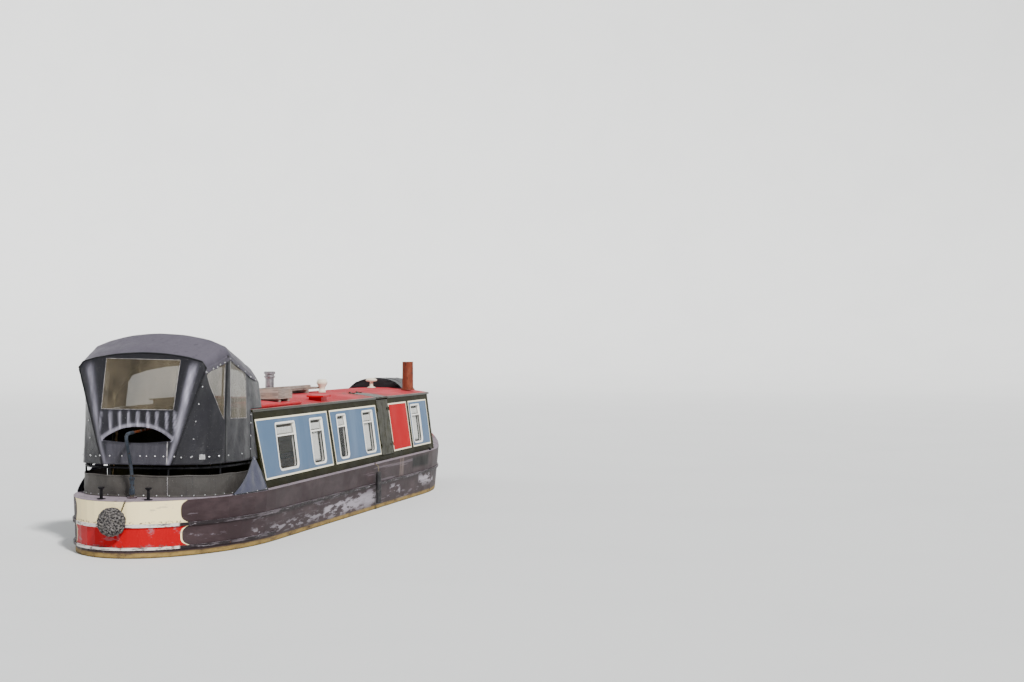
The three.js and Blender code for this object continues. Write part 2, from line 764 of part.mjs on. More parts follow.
// The space inside the hood's wall, drawn up past its roof
function hoodPrism(inward) {
  const last = HOOD_WALL.length - 1;
  const shift = (i) => (i < 3 ? inward : 0) + (i === last ? 5 * inward : 0);
  const plan = (x, y, i) => [x + shift(i), y - (i > 1 ? inward : 0)];
  const ringOf = (points) => {
    const starboard = points.map(([x, y, z]) => new THREE.Vector3(x, -y, z));
    const port = points.slice(1).reverse().map(([x, y, z]) => new THREE.Vector3(x, y, z));
    const front = new THREE.Vector3(points[last][0], 0, points[last][2]);
    return [...starboard, front, ...port];
  };
  const foot = HOOD_WALL.map(([x, y], i) => [...plan(x, y, i), HEM - 8 * inward]);
  const eave = HOOD_WALL.map(([, , x, y, z], i) => [...plan(x, y, i), z]);
  return lofted([ringOf(foot), ringOf(eave), ringOf(eave.map(([x, y]) => [x, y, 3000]))]);
}

function hoodSection([x, half, corner, crown], inward) {
  const low = HEM - 100;
  const points = [
    [half + 260, low],
    [half - inward, corner - 60 - inward],
    [half * 0.93 - inward, corner + 0.12 * (crown - corner) - inward],
    [half * 0.72, corner + 0.55 * (crown - corner) - inward],
    [half * 0.38, corner + 0.88 * (crown - corner) - inward],
  ];
  const port = points.map(([y, z]) => new THREE.Vector3(x, y, z));
  const crownPoint = new THREE.Vector3(x, 0, crown - inward);
  const starboard = points.slice().reverse().map(([y, z]) => new THREE.Vector3(x, -y, z));
  return [new THREE.Vector3(x, 0, low), ...port, crownPoint, ...starboard];
}

const CLOTH = 8;
const HOOP_RADIUS = 11;

// The hood's roof at any station, between those of the table
function hoodRow(x) {
  const after = HOOD_ROOF.findIndex((row) => row[0] >= x);
  const [a, b] = [HOOD_ROOF[Math.max(0, after - 1)], HOOD_ROOF[after]];
  const share = a === b ? 0 : (x - a[0]) / (b[0] - a[0]);
  return a.map((value, i) => value + share * (b[i] - value));
}

// The hoops under the hood. Columns: foot on the rail in x and y, knee in x, y and z, station at the top
const HOOPS = [
  [680, 600, 725, 606, 1640, 785],
  [900, 770, 960, 745, 1640, 1100],
  [1560, 835, 1600, 796, 2000, 1790],
];

function hoop([footX, footY, kneeX, kneeY, kneeZ, x]) {
  const [, half, corner, crown] = hoodRow(x);
  const clear = CLOTH + HOOP_RADIUS;
  const side = [
    [footX, footY, RAIL_HEIGHT],
    [kneeX, kneeY, kneeZ],
    [x, half - clear - 60, corner - 110],
    [x, half * 0.88 - clear - 26, corner - 30],
    [x, half * 0.62, corner + 0.5 * (crown - corner) - 30],
    [x, 0, crown - CLOTH - 1.1 * HOOP_RADIUS - SEAT],
  ];
  const starboard = side.slice(0, -1).reverse().map(([a, b, c]) => [a, -b, c]);
  return tube([...side, ...starboard], HOOP_RADIUS, { sides: 6, steps: 30 });
}

// The stern rail on its posts, with the hoops that it carries
function hoodFrame() {
  const rail = bothSides(RAIL_PLAN).map(([x, y]) => [x, y, RAIL_HEIGHT]);
  const posts = [[1560, 835], [900, 770], [570, 330]].flatMap(([x, y]) => [[x, y], [x, -y]]);
  return joined(
    tube(rail, 14, { sides: 6, steps: 28 }),
    ...posts.map(([x, y]) => bar([x, y, DECK + SEAT], [x, y, RAIL_HEIGHT], HOOP_RADIUS, 8)),
    ...HOOPS.map(hoop),
  );
}

function hood() {
  const roof = (inward) => lofted(
    HOOD_ROOF.map(([x, ...rest], i) => {
      const end = i === HOOD_ROOF.length - 1;
      return hoodSection([x + (end ? 5 * inward : 0), ...rest], inward);
    }),
  );
  const skin = (inward) => shared(hoodPrism(inward), roof(inward));
  const roofClear = [[900, 1950], [900, 1990], [430, 2050], [420, 2125]];
  const mirrored = roofClear.slice().reverse().map(([y, z]) => [-y, z]);
  const slit = [[0, 1668], [200, 1672], [400, 1700], [220, 1795], [0, 1835]];
  const otherSide = slit.slice(1, -1).reverse().map(([y, z]) => [-y, z]);
  return cut(
    skin(0),
    skin(CLOTH),
    plateYZ(outline([...roofClear, ...mirrored]), [CABIN_AFT - 75, 2100]),
    plateXZ(outline([[1712, 1400], [2100, 1400], [2100, 1951], [1657, 1951]]), [-900, 900]),
    plateYZ(outline([...slit, ...otherSide]), [400, 760]),
  );
}

// A cloth screen that follows the rail in plan
function sternDodger() {
  const face = bothSides(RAIL_PLAN.map(([x, y]) => [x, y]));
  const path = new THREE.CatmullRomCurve3(face.map(([x, y]) => new THREE.Vector3(x, y, 0)));
  const points = path.getPoints(36);
  const offset = (amount) => points.map((p, i) => {
    const before = points[Math.max(0, i - 1)];
    const after = points[Math.min(points.length - 1, i + 1)];
    const run = new THREE.Vector2(after.x - before.x, after.y - before.y).normalize();
    return [p.x - run.y * amount * -1, p.y - run.x * amount];
  });
  const outerEdge = offset(-HOOP_RADIUS - SEAT - 6);
  const innerEdge = offset(-HOOP_RADIUS - SEAT).reverse();
  return plateXY(outline([...outerEdge, ...innerEdge]), [DECK + SEAT, DECK + 235]);
}

// Quarter screen: a three-cornered cloth from the deck's edge up to the hood's hem beside the cabin.
// Columns: station, height of its upper edge
const QUARTER_TOP = [
  [940, DECK + 10],
  [1080, DECK + 92],
  [1240, DECK + 187],
  [1400, DECK + 283],
  [1545, DECK + 366],
  [1566, DECK + 370],
  [1600, DECK + 370],
  [1640, DECK + 200],
];

function quarterScreen(side) {
  const foot = DECK + SEAT;
  const rings = QUARTER_TOP.map(([x, top]) => {
    const turn = Math.acos(Math.max(0, 1 - x / STERN_ROUND));
    const low = HALF_BEAM * Math.sin(turn) - 14;
    const wall = hoodWallAt(Math.max(x, 1480), HEM + 30) + 2 * SEAT;
    const high = low + ((wall - low) * (top - foot)) / 370;
    return [[low, foot], [low + 6, foot], [high + 6, top], [high, top]].map(
      ([y, z]) => new THREE.Vector3(x, side * y, z),
    );
  });
  return lofted(side === PORT ? rings : rings.map((ring) => ring.slice().reverse()));
}

// Roof furniture

function chimneyAft(x, y) {
  const z = onRoof(Math.abs(y) - 78);
  const profile = [[0, 0], [78, 0], [78, 10], [58, 16], [57, 215], [72, 222], [72, 240], [60, 246], [60, 262],
    [75, 268], [75, 292], [64, 300], [0, 300]];
  return turned(profile.map(([r, up]) => [r, z + up]), x, y, 16);
}

function chimneyForward(x, y) {
  const z = onRoof(Math.abs(y) - 100);
  const profile = [[0, 0], [100, 0], [100, 14], [82, 22], [80, 420], [72, 420], [72, 400], [0, 400]];
  return turned(profile.map(([r, up]) => [r, z + up]), x, y, 16);
}

function woodenTrough() {
  const [x0, x1, y0, y1] = [3060, 3540, -600, -210];
  const floor = onRoof(y1) + 6;
  const top = floor + 118;
  const foot = (x) => plateYZ(
    outline([[y0 + 10, floor + 10], [y0 + 10, onRoof(y0 + 10)], [-ROOF_HALF / 2, onRoof(ROOF_HALF / 2)],
      [y1 - 10, onRoof(y1 - 10)], [y1 - 10, floor + 10]]),
    [x, x + 60],
  );
  return cut(
    joined(block([x0, x1], [y0, y1], [floor, top]), foot(x0 + 60), foot(x1 - 120)),
    block([x0 + 20, x1 - 20], [y0 + 20, y1 - 20], [floor + 20, top + 20]),
  );
}

function plankRack() {
  const [aft, fore] = [3950, 6100];
  const base = onRoof(0) + 8;
  const rack = (x) => block([x, x + 40], [-60, 175], [onRoof(0), base + 40]);
  return joined(
    rack(aft + 300),
    rack(fore - 500),
    block([aft, fore], [-50, 100], [base + 38, base + 66]),
    block([aft + 150, fore - 120], [112, 160], [base + 36, base + 84]),
    block([aft + 60, fore - 300], [-30, 30], [base + 64, base + 96]),
  );
}

function boatPole() {
  return bar([1985, -795, onRoof(795) + 20.2], [3320, -785, onRoof(785) + 18.2], 20, 10, 18);
}

const ROOF_HATCH = { aft: 4100, fore: 4300, out: -775, in: -610 };

function roofHatchBase() {
  const { aft, fore, out, in: inboard } = ROOF_HATCH;
  const top = onRoof(inboard) + 33;
  const facet = (-3 * ROOF_HALF) / 4;
  const foot = [out, facet, inboard].map((y) => [y, onRoof(y)]);
  return plateYZ(outline([...foot, [inboard, top], [out, top]]), [aft, fore]);
}

function roofHatchLid() {
  const { aft, fore, out, in: inboard } = ROOF_HATCH;
  const z = onRoof(inboard) + 33 + SEAT;
  return block([aft - 45, fore + 45], [out - 40, inboard + 12], [z, z + 22]);
}

function flaredVent(x, y) {
  const z = onRoof(Math.abs(y) - 50);
  const profile = [[0, 0], [50, 0], [50, 20], [36, 45], [44, 70], [74, 120], [74, 140], [55, 175], [0, 178]];
  return turned(profile.map(([r, up]) => [r, z + up]), x, y, 14);
}

function mushroomVent(x, y) {
  const z = onRoof(0);
  const profile = [[0, 0], [62, 0], [62, 10], [26, 22], [24, 92], [80, 100], [88, 118], [60, 142], [0, 150]];
  return turned(profile.map(([r, up]) => [r, z + up]), x, y, 14);
}

// Bow

// Half of the cratch cover's section at its aft end. Columns: half breadth, height
const CRATCH_SECTION = [
  [915, 1150],
  [880, 1300],
  [700, 1640],
  [430, 2020],
  [240, 2150],
];
const CRATCH_CROWN = 2190;
const CRATCH_FORE_SHARE = 0.64; // breadth at its fore end, of that at its aft end

function cratchRing(x, share, drop, inward, low) {
  const half = CRATCH_SECTION.map(([y, z]) => [y * share - inward, Math.max(low, z - drop - inward)]);
  half[0][1] = low;
  const port = half.map(([y, z]) => new THREE.Vector3(x, y, z));
  const starboard = half.slice().reverse().map(([y, z]) => new THREE.Vector3(x, -y, z));
  const crown = new THREE.Vector3(x, 0, CRATCH_CROWN - drop - inward);
  return [new THREE.Vector3(x, 0, low), ...port, crown, ...starboard];
}

function cratchCover() {
  const [aft, fore] = [CABIN_FORE + 66, CRATCH_AT - SEAT];
  const feet = [gunwale(aft) + SEAT, gunwale(fore) + SEAT];
  const outer = lofted([
    cratchRing(aft, 1, 0, 0, feet[0]),
    cratchRing(fore, CRATCH_FORE_SHARE, 20, 0, feet[1]),
  ]);
  const inner = lofted([
    cratchRing(aft - 10, 1, 0, 10, feet[0] - 60),
    cratchRing(fore + 10, CRATCH_FORE_SHARE, 20, 10, feet[1] - 60),
  ]);
  const aftPanel = shared(outer, block([aft, aft + 8], [-440, 440], [2035, 2300]));
  return joined(cut(outer, inner), aftPanel);
}

function cratchBoard() {
  const low = gunwale(CRATCH_AT + 26) + SEAT;
  const half = CRATCH_SECTION.map(([y, z]) => [y * CRATCH_FORE_SHARE, z - 20]);
  half[0][1] = low;
  return plateYZ(
    outline([...half, [0, CRATCH_CROWN - 20], ...half.slice().reverse().map(([y, z]) => [-y, z])]),
    [CRATCH_AT, CRATCH_AT + 26],
  );
}

function gasLockerLid() {
  const { aft, fore, half } = GAS_LOCKER;
  const axis = FOREDECK + SEAT + KNUCKLE;
  const hinge = (y) => bar([fore + 27, y - 30, axis], [fore + 27, y + 30, axis], KNUCKLE, 10);
  return joined(
    block([aft - 25, fore + 25], [-half - 25, half + 25], [FOREDECK + SEAT, FOREDECK + 14]),
    hinge(-130),
    hinge(130),
  );
}

// A button of knotted rope with a flat back, pointing up
function ropeButton(radius, length, sides) {
  const profile = [[0, 0], [0.8, 0], [0.96, 0.16], [1, 0.42], [0.93, 0.7], [0.74, 0.9], [0.4, 0.99], [0, 1]];
  return new THREE.LatheGeometry(
    profile.map(([r, t]) => new THREE.Vector2(r * radius, t * length)),
    sides,
  );
}

// It hangs against the upper strake
function sternFender() {
  return ropeButton(152, 150, 20).rotateZ(Math.PI / 2).translate(-STRAKE_PROUD - SEAT, 0, 900);
}

// It hangs against the raked stem
function bowFender() {
  const [low, high] = LEVELS.slice(-2);
  const rake = Math.atan((high[4] - low[4]) / (DECK_BOW - low[0]));
  const z = 1120;
  const x = low[4] + (z - low[0]) * Math.tan(rake) + SEAT / Math.cos(rake);
  return ropeButton(125, 160, 18).rotateZ(-Math.PI / 2).rotateY(rake).translate(x, 0, z);
}

function sideFender() {
  const radius = 34;
  const y = -LEVELS[6][1] - STRAKE_PROUD - SEAT - radius;
  const profile = [[0, 600], [30, 606], [radius, 640], [radius, 985], [30, 1018], [0, 1024]];
  return turned(profile, 5500, y, 12);
}

// The assembly

HULL_SECTIONS.forEach(([name, aft, fore]) => add(name, hullSection(aft, fore), "hull"));
add("rubbing_strake_upper", strake(LEVELS[5], LEVELS[6]), "strake");
add("rubbing_strake_lower", strake(LEVELS[3], LEVELS[4], STERN_TURNS.length - 1), "strake");
add("engine_block", block([1815, 2415], [-215, 215], [ENGINE_BED + SEAT, 790]), "engine");
add("propeller", propeller(), "bronze");
add("rudder_blade", rudderBlade(), "baseSteel");
add("tiller_neck", tillerNeck(), "bluePaint");
add("tiller_bar", tillerBar(), "brassRust");
add("dolly_port", dolly(230, 262, DECK), "strake");
add("dolly_starboard", dolly(230, -262, DECK), "strake");
add("hood_frame", hoodFrame(), "tube");
add("hood", hood(), "canvas");
add("stern_dodger", sternDodger(), "canvas");
add("quarter_screen_port", quarterScreen(PORT), "canvas");
add("quarter_screen_starboard", quarterScreen(STARBOARD), "canvas");
add("stern_fender", sternFender(), "rope");

add("cabin_side_port", cabinSide(PORT), "panelBlue");
add("cabin_side_starboard", cabinSide(STARBOARD), "panelBlue");
add("cabin_roof", cabinRoof(), "roofRed");
add("rear_bulkhead", bulkhead(REAR_BULKHEAD, REAR_DOOR_HALF, DOOR_HEAD), "cabinGreen");
add("front_bulkhead", bulkhead(FRONT_BULKHEAD, FRONT_DOOR_HALF, DOOR_HEAD), "cabinGreen");
WINDOWS.forEach((row, i) => {
  add(`window_port_${i + 1}`, windowUnit(row, PORT), "window");
  add(`window_starboard_${i + 1}`, windowUnit(row, STARBOARD), "window");
});

[["port", PORT], ["starboard", STARBOARD]].forEach(([name, side]) => {
  const rear = doorLeaf(REAR_BULKHEAD[0], -1, REAR_DOOR_HALF, side, [REAR_SILL, DOOR_HEAD - 8]);
  const front = doorLeaf(FRONT_BULKHEAD[1], 1, FRONT_DOOR_HALF, side, [FRONT_SILL, DOOR_HEAD - 8]);
  add(`rear_door_${name}`, rear, "cabinGreen");
  add(`front_door_${name}`, front, "cabinGreen");
});
add("side_door_aft", sideDoor(true), "cabinGreen");
add("side_door_fore", sideDoor(false), "cabinGreen");
add("side_hatch_flap", sideFlap(), "cabinGreen");
add("slide_hatch", slideHatch(), "roofRed");

add("chimney_aft", chimneyAft(5260, 350), "greyTin");
add("chimney_fore", chimneyForward(8400, -625), "brassRust");
add("wooden_trough", woodenTrough(), "wood");
add("plank_rack", plankRack(), "wood");
add("boat_pole", boatPole(), "brightRed");
add("roof_hatch_base", roofHatchBase(), "brightRed");
add("roof_hatch_lid", roofHatchLid(), "brightRed");
add("flared_vent", flaredVent(6030, -110), "cream");
add("mushroom_vent", mushroomVent(8400, -60), "cream");

add("cratch_cover", cratchCover(), "blackCanvas");
add("cratch_board", cratchBoard(), "wood");
add("gas_locker_lid", gasLockerLid(), "strake");
add("bow_stud", dolly(10690, 0, FOREDECK), "strake");
add("bow_fender", bowFender(), "rope");
add("side_fender", sideFender(), "rubber");

// The origin goes under the middle of the hull's length
boat.position.x = -HULL_END / 2;

export default boat;
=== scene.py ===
"""Looks of a steel narrowboat with a pram hood: paint, soft covers, windows, fenders and small fittings."""

import sys

import contextlib
import enum
import functools
import logging
import math
from collections.abc import Callable, Iterator, Sequence
from dataclasses import dataclass, field
from typing import Any

import bmesh
import bpy
from mathutils import Matrix, Vector, noise
from mathutils.bvhtree import BVHTree


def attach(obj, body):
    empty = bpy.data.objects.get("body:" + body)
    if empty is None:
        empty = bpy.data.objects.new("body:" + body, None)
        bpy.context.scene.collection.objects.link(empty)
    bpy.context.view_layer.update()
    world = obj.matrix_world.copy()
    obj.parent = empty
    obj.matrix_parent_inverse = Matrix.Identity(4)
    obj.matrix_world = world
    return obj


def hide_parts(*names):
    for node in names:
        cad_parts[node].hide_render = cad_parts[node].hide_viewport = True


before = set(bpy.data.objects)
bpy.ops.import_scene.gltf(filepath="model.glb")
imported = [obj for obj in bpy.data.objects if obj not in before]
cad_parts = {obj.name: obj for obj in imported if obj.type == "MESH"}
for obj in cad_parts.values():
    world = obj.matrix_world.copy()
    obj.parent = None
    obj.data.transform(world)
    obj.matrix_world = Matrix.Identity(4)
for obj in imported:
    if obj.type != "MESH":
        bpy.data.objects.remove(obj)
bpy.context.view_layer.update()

log = logging.getLogger("narrowboat")

STERN = -5.525  # x of the sternmost point of the hull
WATER = 0.520  # height of the waterline above the baseplate
DECK = 1.100  # height of the gunwale at the stern
FACE_LEAN = 110 / 850  # how far the cabin side leans in for each metre up
CABIN_FOOT = 0.940  # half breadth of the cabin side at the height DECK
SEAT = 0.0003  # gap between pieces that touch
WAVE = 6.283  # a wave texture of scale 1 repeats after a metre divided by this

Socket = bpy.types.NodeSocket
Layer = Socket | float | tuple[float, ...]


class Side(enum.Enum):
    """A side of the boat, as the sign of y."""

    PORT = 1
    STARBOARD = -1

    @property
    def word(self) -> str:
        """The side's name in a piece's name."""
        return self.name.lower()


def at(s: float, y: float, z: float) -> Vector:
    """Turn a place in millimetres to the shared frame.

    Args:
        s: distance forward of the sternmost point.
        y: distance to port of the middle.
        z: height above the underside of the baseplate.

    Returns:
        The place in metres.
    """
    return Vector((STERN + s / 1000, y / 1000, z / 1000))


def linear(code: str) -> tuple[float, float, float, float]:
    """Turn an sRGB hex colour to linear RGB with full alpha."""
    parts = [int(code[i : i + 2], 16) / 255 for i in (1, 3, 5)]
    return (*(c / 12.92 if c <= 0.04045 else ((c + 0.055) / 1.055) ** 2.4 for c in parts), 1.0)


def blend_in(share: float, start: float, end: float) -> float:
    """Rise smoothly from 0 at start to 1 at end."""
    t = min(1.0, max(0.0, (share - start) / (end - start)))
    return t * t * (3 - 2 * t)


def catmull(points: Sequence[Sequence[float]], share: float) -> list[float]:
    """Read a smooth line through points.

    Args:
        points: two or more points of equal length.
        share: a place along them, counted in points from the first.

    Returns:
        The point at that place.
    """
    last = len(points) - 1
    i = min(int(max(share, 0.0)), last - 1)
    t = share - i
    a, b = points[i], points[i + 1]
    before = points[i - 1] if i else [2 * p - q for p, q in zip(a, b)]
    after = points[i + 2] if i + 2 <= last else [2 * q - p for p, q in zip(a, b)]
    return [
        0.5 * (2 * q + (r - p) * t + (2 * p - 5 * q + 4 * r - w) * t * t + (3 * q - p - 3 * r + w) * t**3)
        for p, q, r, w in zip(before, a, b, after)
    ]


# Finishes


class Coat:
    """A material in the making: a colour, a roughness and a height that its layers change."""

    def __init__(
        self, name: str, colour: str, roughness: float, metallic: float = 0.0, **sockets: float
    ) -> None:
        """Start a material.

        Args:
            name: the material's name.
            colour: the ground colour, as sRGB hex.
            roughness: the ground roughness.
            metallic: 1 for a bare metal.
            sockets: uniform values for the shader's other sockets, with _ for a space.
        """
        self.material = bpy.data.materials.new(name)
        self.material.use_nodes = True
        self.tree = self.material.node_tree
        self.tree.nodes.clear()
        named = {key.replace("_", " "): value for key, value in sockets.items()}
        self.shader = self.add("BsdfPrincipled", {"Metallic": metallic, **named}).node
        self.where = self.add("TexCoord", out="Object")
        self.x, self.y, self.z = (self.add("SeparateXYZ", self.where, out=axis) for axis in "XYZ")
        normal = self.add("NewGeometry", out="Normal")
        self.ahead, self.aside, self.up = (self.add("SeparateXYZ", normal, out=axis) for axis in "XYZ")
        self.colour: Layer = linear(colour)
        self.roughness: Layer = roughness
        self.height: Layer = 0.0

    def add(self, kind: str, *values: Any, out: str | None = None, **settings: Any) -> Socket:
        """Add a node with its settings and links.

        Args:
            kind: the node's class name after ShaderNode.
            values: values or sockets for its inputs in order, or a dict of them by name.
            out: the output to return, if it isn't the first in use.
            settings: the node's own properties.

        Returns:
            One of the node's outputs.
        """
        node = self.tree.nodes.new("ShaderNode" + kind)
        for key, value in settings.items():
            setattr(node, key, value)
        shown = [socket for socket in node.inputs if socket.enabled]
        pairs = []
        for i, value in enumerate(values):
            if isinstance(value, dict):
                pairs += [(node.inputs[k], v) for k, v in value.items()]
            else:
                pairs.append((shown[i], value))
        for socket, value in pairs:
            if isinstance(value, Socket):
                self.tree.links.new(value, socket)
            elif value is not None:
                socket.default_value = value
        return node.outputs[out] if out else next((o for o in node.outputs if o.enabled), None)

    def both(self, *masks: Layer) -> Layer:
        """Keep what masks have in common.

        Args:
            masks: the masks.

        Returns:
            Their product.
        """
        whole = masks[0]
        for mask in masks[1:]:
            whole = self.add("Math", whole, mask, operation="MULTIPLY")
        return whole

    def beyond(self, value: Socket, edge: float, soft: float = 0.002) -> Socket:
        """Mask where a value lies beyond an edge, or short of it when soft is negative."""
        return self.add(
            "MapRange", value, edge - soft, edge + soft, 0.0, 1.0, interpolation_type="SMOOTHSTEP"
        )

    def band(self, value: Socket, low: float, high: float, soft: float = 0.002) -> Socket:
        """Mask where a value lies between two others.

        Args:
            value: the value.
            low: the lower edge.
            high: the upper edge.
            soft: how far to each side of an edge the mask fades.

        Returns:
            The mask.
        """
        away = self.add("Math", value, (low + high) / 2, operation="SUBTRACT")
        away = self.add("Math", away, operation="ABSOLUTE")
        return self.beyond(away, (high - low) / 2, -soft)

    def mottle(
        self,
        size: float,
        low: float = 0.45,
        high: float = 0.6,
        stretch: Sequence[float] = (1, 1, 1),
        detail: float = 4.0,
    ) -> Socket:
        """Mask random patches.

        Args:
            size: the patches' width in metres.
            low: the noise value where the mask starts.
            high: the noise value where it is full.
            stretch: how much finer the patches are along each axis.
            detail: how many finer layers of noise break their edges.

        Returns:
            The mask.
        """
        place = self.add("Mapping", self.where, {"Scale": tuple(stretch)})
        grain = self.add("TexNoise", place, 1 / size, detail, 0.6)
        return self.add("MapRange", grain, low, high, 0.0, 1.0, interpolation_type="SMOOTHSTEP")

    def convex(self, across: Socket, up: Socket, corners: Sequence[tuple[float, float]]) -> Socket:
        """Measure the distance from a convex outline in two coordinates.

        Args:
            across: the first coordinate.
            up: the second coordinate.
            corners: the outline, anticlockwise.

        Returns:
            The distance in metres, below zero inside.
        """
        spot = self.add("CombineXYZ", across, up, 1.0)
        whole = None
        for (a, b), (c, d) in zip(corners, [*corners[1:], corners[0]]):
            run = math.hypot(c - a, d - b)
            n, m = (d - b) / run, -(c - a) / run
            edge = self.add(
                "VectorMath", spot, (n, m, -(n * a + m * b)), out="Value", operation="DOT_PRODUCT"
            )
            whole = edge if whole is None else self.add("Math", whole, edge, operation="MAXIMUM")
        return whole

    def tint(self, mask: Layer, colour: str) -> None:
        """Lay a colour over the present one where the mask is 1."""
        self.colour = self.add("Mix", mask, self.colour, linear(colour), data_type="RGBA")

    def gloss(self, mask: Layer, roughness: float) -> None:
        """Change the roughness where the mask is 1."""
        self.roughness = self.add("Mix", mask, self.roughness, roughness, data_type="FLOAT")

    def lift(self, mask: Layer, metres: float) -> None:
        """Raise the surface by a height where the mask is 1."""
        self.height = self.add("Math", mask, metres, self.height, operation="MULTIPLY_ADD")

    def done(self) -> bpy.types.Material:
        """Link the layers to the shader.

        Returns:
            The finished material.
        """
        for name, value in (("Base Color", self.colour), ("Roughness", self.roughness)):
            if isinstance(value, Socket):
                self.tree.links.new(value, self.shader.inputs[name])
            else:
                self.shader.inputs[name].default_value = value
        if isinstance(self.height, Socket):
            bump = self.add("Bump", {"Height": self.height, "Distance": 1.0})
            self.tree.links.new(bump, self.shader.inputs["Normal"])
        self.add("OutputMaterial", self.shader.outputs[0])
        return self.material


def rectangle(x0: float, x1: float, z0: float, z1: float) -> list[tuple[float, float]]:
    """Give the corners of an upright rectangle, in metres forward of the stern and above the baseplate."""
    return [(STERN + x0, z0), (STERN + x1, z0), (STERN + x1, z1), (STERN + x0, z1)]


@dataclass(frozen=True)
class HullPaint:
    """Bitumen paint on rolled steel plate: a soft brown-black gloss, rubbed pale by fenders and locks."""

    body: str = "#33282a"
    dusty: str = "#45383a"
    cream: str = "#f6e3ae"
    red: str = "#a6000e"
    edge: str = "#90848c"
    weed: str = "#8c7443"
    band_end: float = 0.58  # half breadth at which the stern's bands end
    line: float = 0.006  # half the width of the red band's cream edge

    def make(self) -> bpy.types.Material:
        """Build the material.

        Returns:
            The material.
        """
        c = Coat("hull_bitumen_paint", self.body, 0.5, Specular_IOR_Level=0.1)
        side = c.add("Math", c.y, operation="ABSOLUTE")
        c.tint(c.both(c.mottle(0.5, 0.42, 0.7, (1, 1, 3)), 0.7), self.dusty)
        c.gloss(c.mottle(0.3, 0.4, 0.7), 0.58)
        # Rain marks run down from the gunwale
        c.tint(c.both(c.mottle(0.05, 0.55, 0.75, (1, 1, 0.05)), 0.25), "#2c2527")
        self.stern_bands(c, side)
        self.scuffs(c)
        # The weed line: dried algae and silt just above the water
        low = c.beyond(c.z, WATER + 0.052, -0.012)
        c.tint(c.both(low, c.mottle(0.12, 0.2, 0.62, (0.5, 1, 2))), self.weed)
        c.tint(c.both(c.beyond(c.z, WATER + 0.012, -0.008), 0.8), "#3a3420")
        c.gloss(low, 0.7)
        # The gunwale's top is walked on and bleached
        top = c.both(c.beyond(c.up, 0.8, 0.1), c.beyond(c.z, 1.08))
        c.tint(c.both(top, c.mottle(0.06, 0.2, 0.5)), self.edge)
        c.gloss(top, 0.7)
        self.inside(c, side)
        c.lift(c.mottle(0.9, 0.3, 0.7), 0.0016)
        c.lift(c.mottle(0.02, 0.4, 0.7), 0.00012)
        return c.done()

    def stern_bands(self, c: Coat, side: Socket) -> None:
        """Paint the cream and red bands round the stern, which end in a curve each side.

        Args:
            c: the material in the making.
            side: the distance from the boat's middle.
        """
        aft = c.beyond(c.x, STERN + 1.2, -0.01)
        # Columns: low and high edge, colour, the colour of its edge
        bands = ((0.868, 1.098, self.cream, None), (0.632, 0.835, self.red, self.cream))
        for low, high, colour, edge in bands:
            away = c.add("Math", c.z, (low + high) / 2, operation="SUBTRACT")
            away = c.add("Math", away, 2 / (high - low), operation="MULTIPLY")
            away = c.add("Math", away, operation="ABSOLUTE")
            away = c.add("Math", away, 3.5, operation="POWER")
            away = c.add("Math", away, -0.05, side, operation="MULTIPLY_ADD")
            level = c.both(aft, c.band(c.z, low, high, 0.001))
            if edge:
                c.tint(c.both(level, c.beyond(away, self.band_end + self.line, -0.001)), edge)
            inset = self.line if edge else 0.0
            band = c.both(level, c.beyond(away, self.band_end - inset, -0.001))
            c.tint(band, colour)
            c.gloss(band, 0.42)
            c.tint(c.both(band, c.mottle(0.09, 0.62, 0.85, (1, 1, 2)), 0.35), "#8b7d6a")
            # Chips near the strakes show the undercoat
            near = c.both(c.band(c.z, low, low + 0.02, 0.012), c.mottle(0.03, 0.52, 0.6))
            c.tint(c.both(band, near), "#5b4d48")

    def scuffs(self, c: Coat) -> None:
        """Lay the rubbed patches, the rust streak and a painted shadow of leaves on the starboard side.

        Args:
            c: the material in the making.
        """
        board = c.beyond(c.y, -0.9, -0.02)
        # Columns: aft, fore, low and high edge, patch width, density, colour
        rubbed = (
            (3.5, 5.6, 0.575, 0.80, 0.16, 0.50, "#a39ca4"),
            (6.2, 6.7, 0.62, 0.80, 0.10, 0.50, "#a7a0a8"),
            (7.6, 8.5, 0.66, 0.83, 0.12, 0.48, "#b0a9b1"),
            (1.3, 3.6, 0.60, 0.72, 0.06, 0.50, "#8f8990"),
            (1.3, 4.4, 0.78, 0.86, 0.05, 0.54, "#6f686e"),
        )
        for aft, fore, low, high, size, density, colour in rubbed:
            area = c.beyond(c.convex(c.x, c.z, rectangle(aft, fore, low, high)), -0.02, -0.06)
            mark = c.mottle(size, density, density + 0.07, (0.3, 1, 1.5), 8.0)
            c.tint(c.both(board, area, mark, 0.8), colour)
        c.tint(
            c.both(c.mottle(0.16, 0.6, 0.66, (0.25, 1, 1.6), 8.0), c.band(c.z, 0.56, 0.85, 0.02), 0.5),
            "#7c747c",
        )
        c.tint(c.both(c.mottle(0.3, 0.63, 0.67, (0.12, 1, 4), 6.0), 0.4), "#776d74")
        streak = c.convex(c.x, c.z, rectangle(6.63, 6.82, 0.88, 1.13))
        c.tint(
            c.both(board, c.beyond(streak, 0.0, -0.03), c.mottle(0.06, 0.3, 0.7, (1, 1, 0.1)), 0.55),
            "#8f7d74",
        )
        # A dark blotch high on the starboard side: a painted shadow of leaves
        patch = c.convex(c.x, c.z, rectangle(7.25, 8.1, 0.945, 1.095))
        c.tint(c.both(board, c.beyond(patch, 0.0, -0.03), c.mottle(0.12, 0.3, 0.42, (0.4, 1, 1))), "#141210")

    def inside(self, c: Coat, side: Socket) -> None:
        """Give the cabin floor its boards and the wells their deck paint.

        Args:
            c: the material in the making.
            side: the distance from the boat's middle.
        """
        cabin = c.beyond(
            c.convex(c.x, side, [(-3.79, -1), (3.20, -1), (3.20, 0.888), (-3.79, 0.888)]), 0.0, -0.002
        )
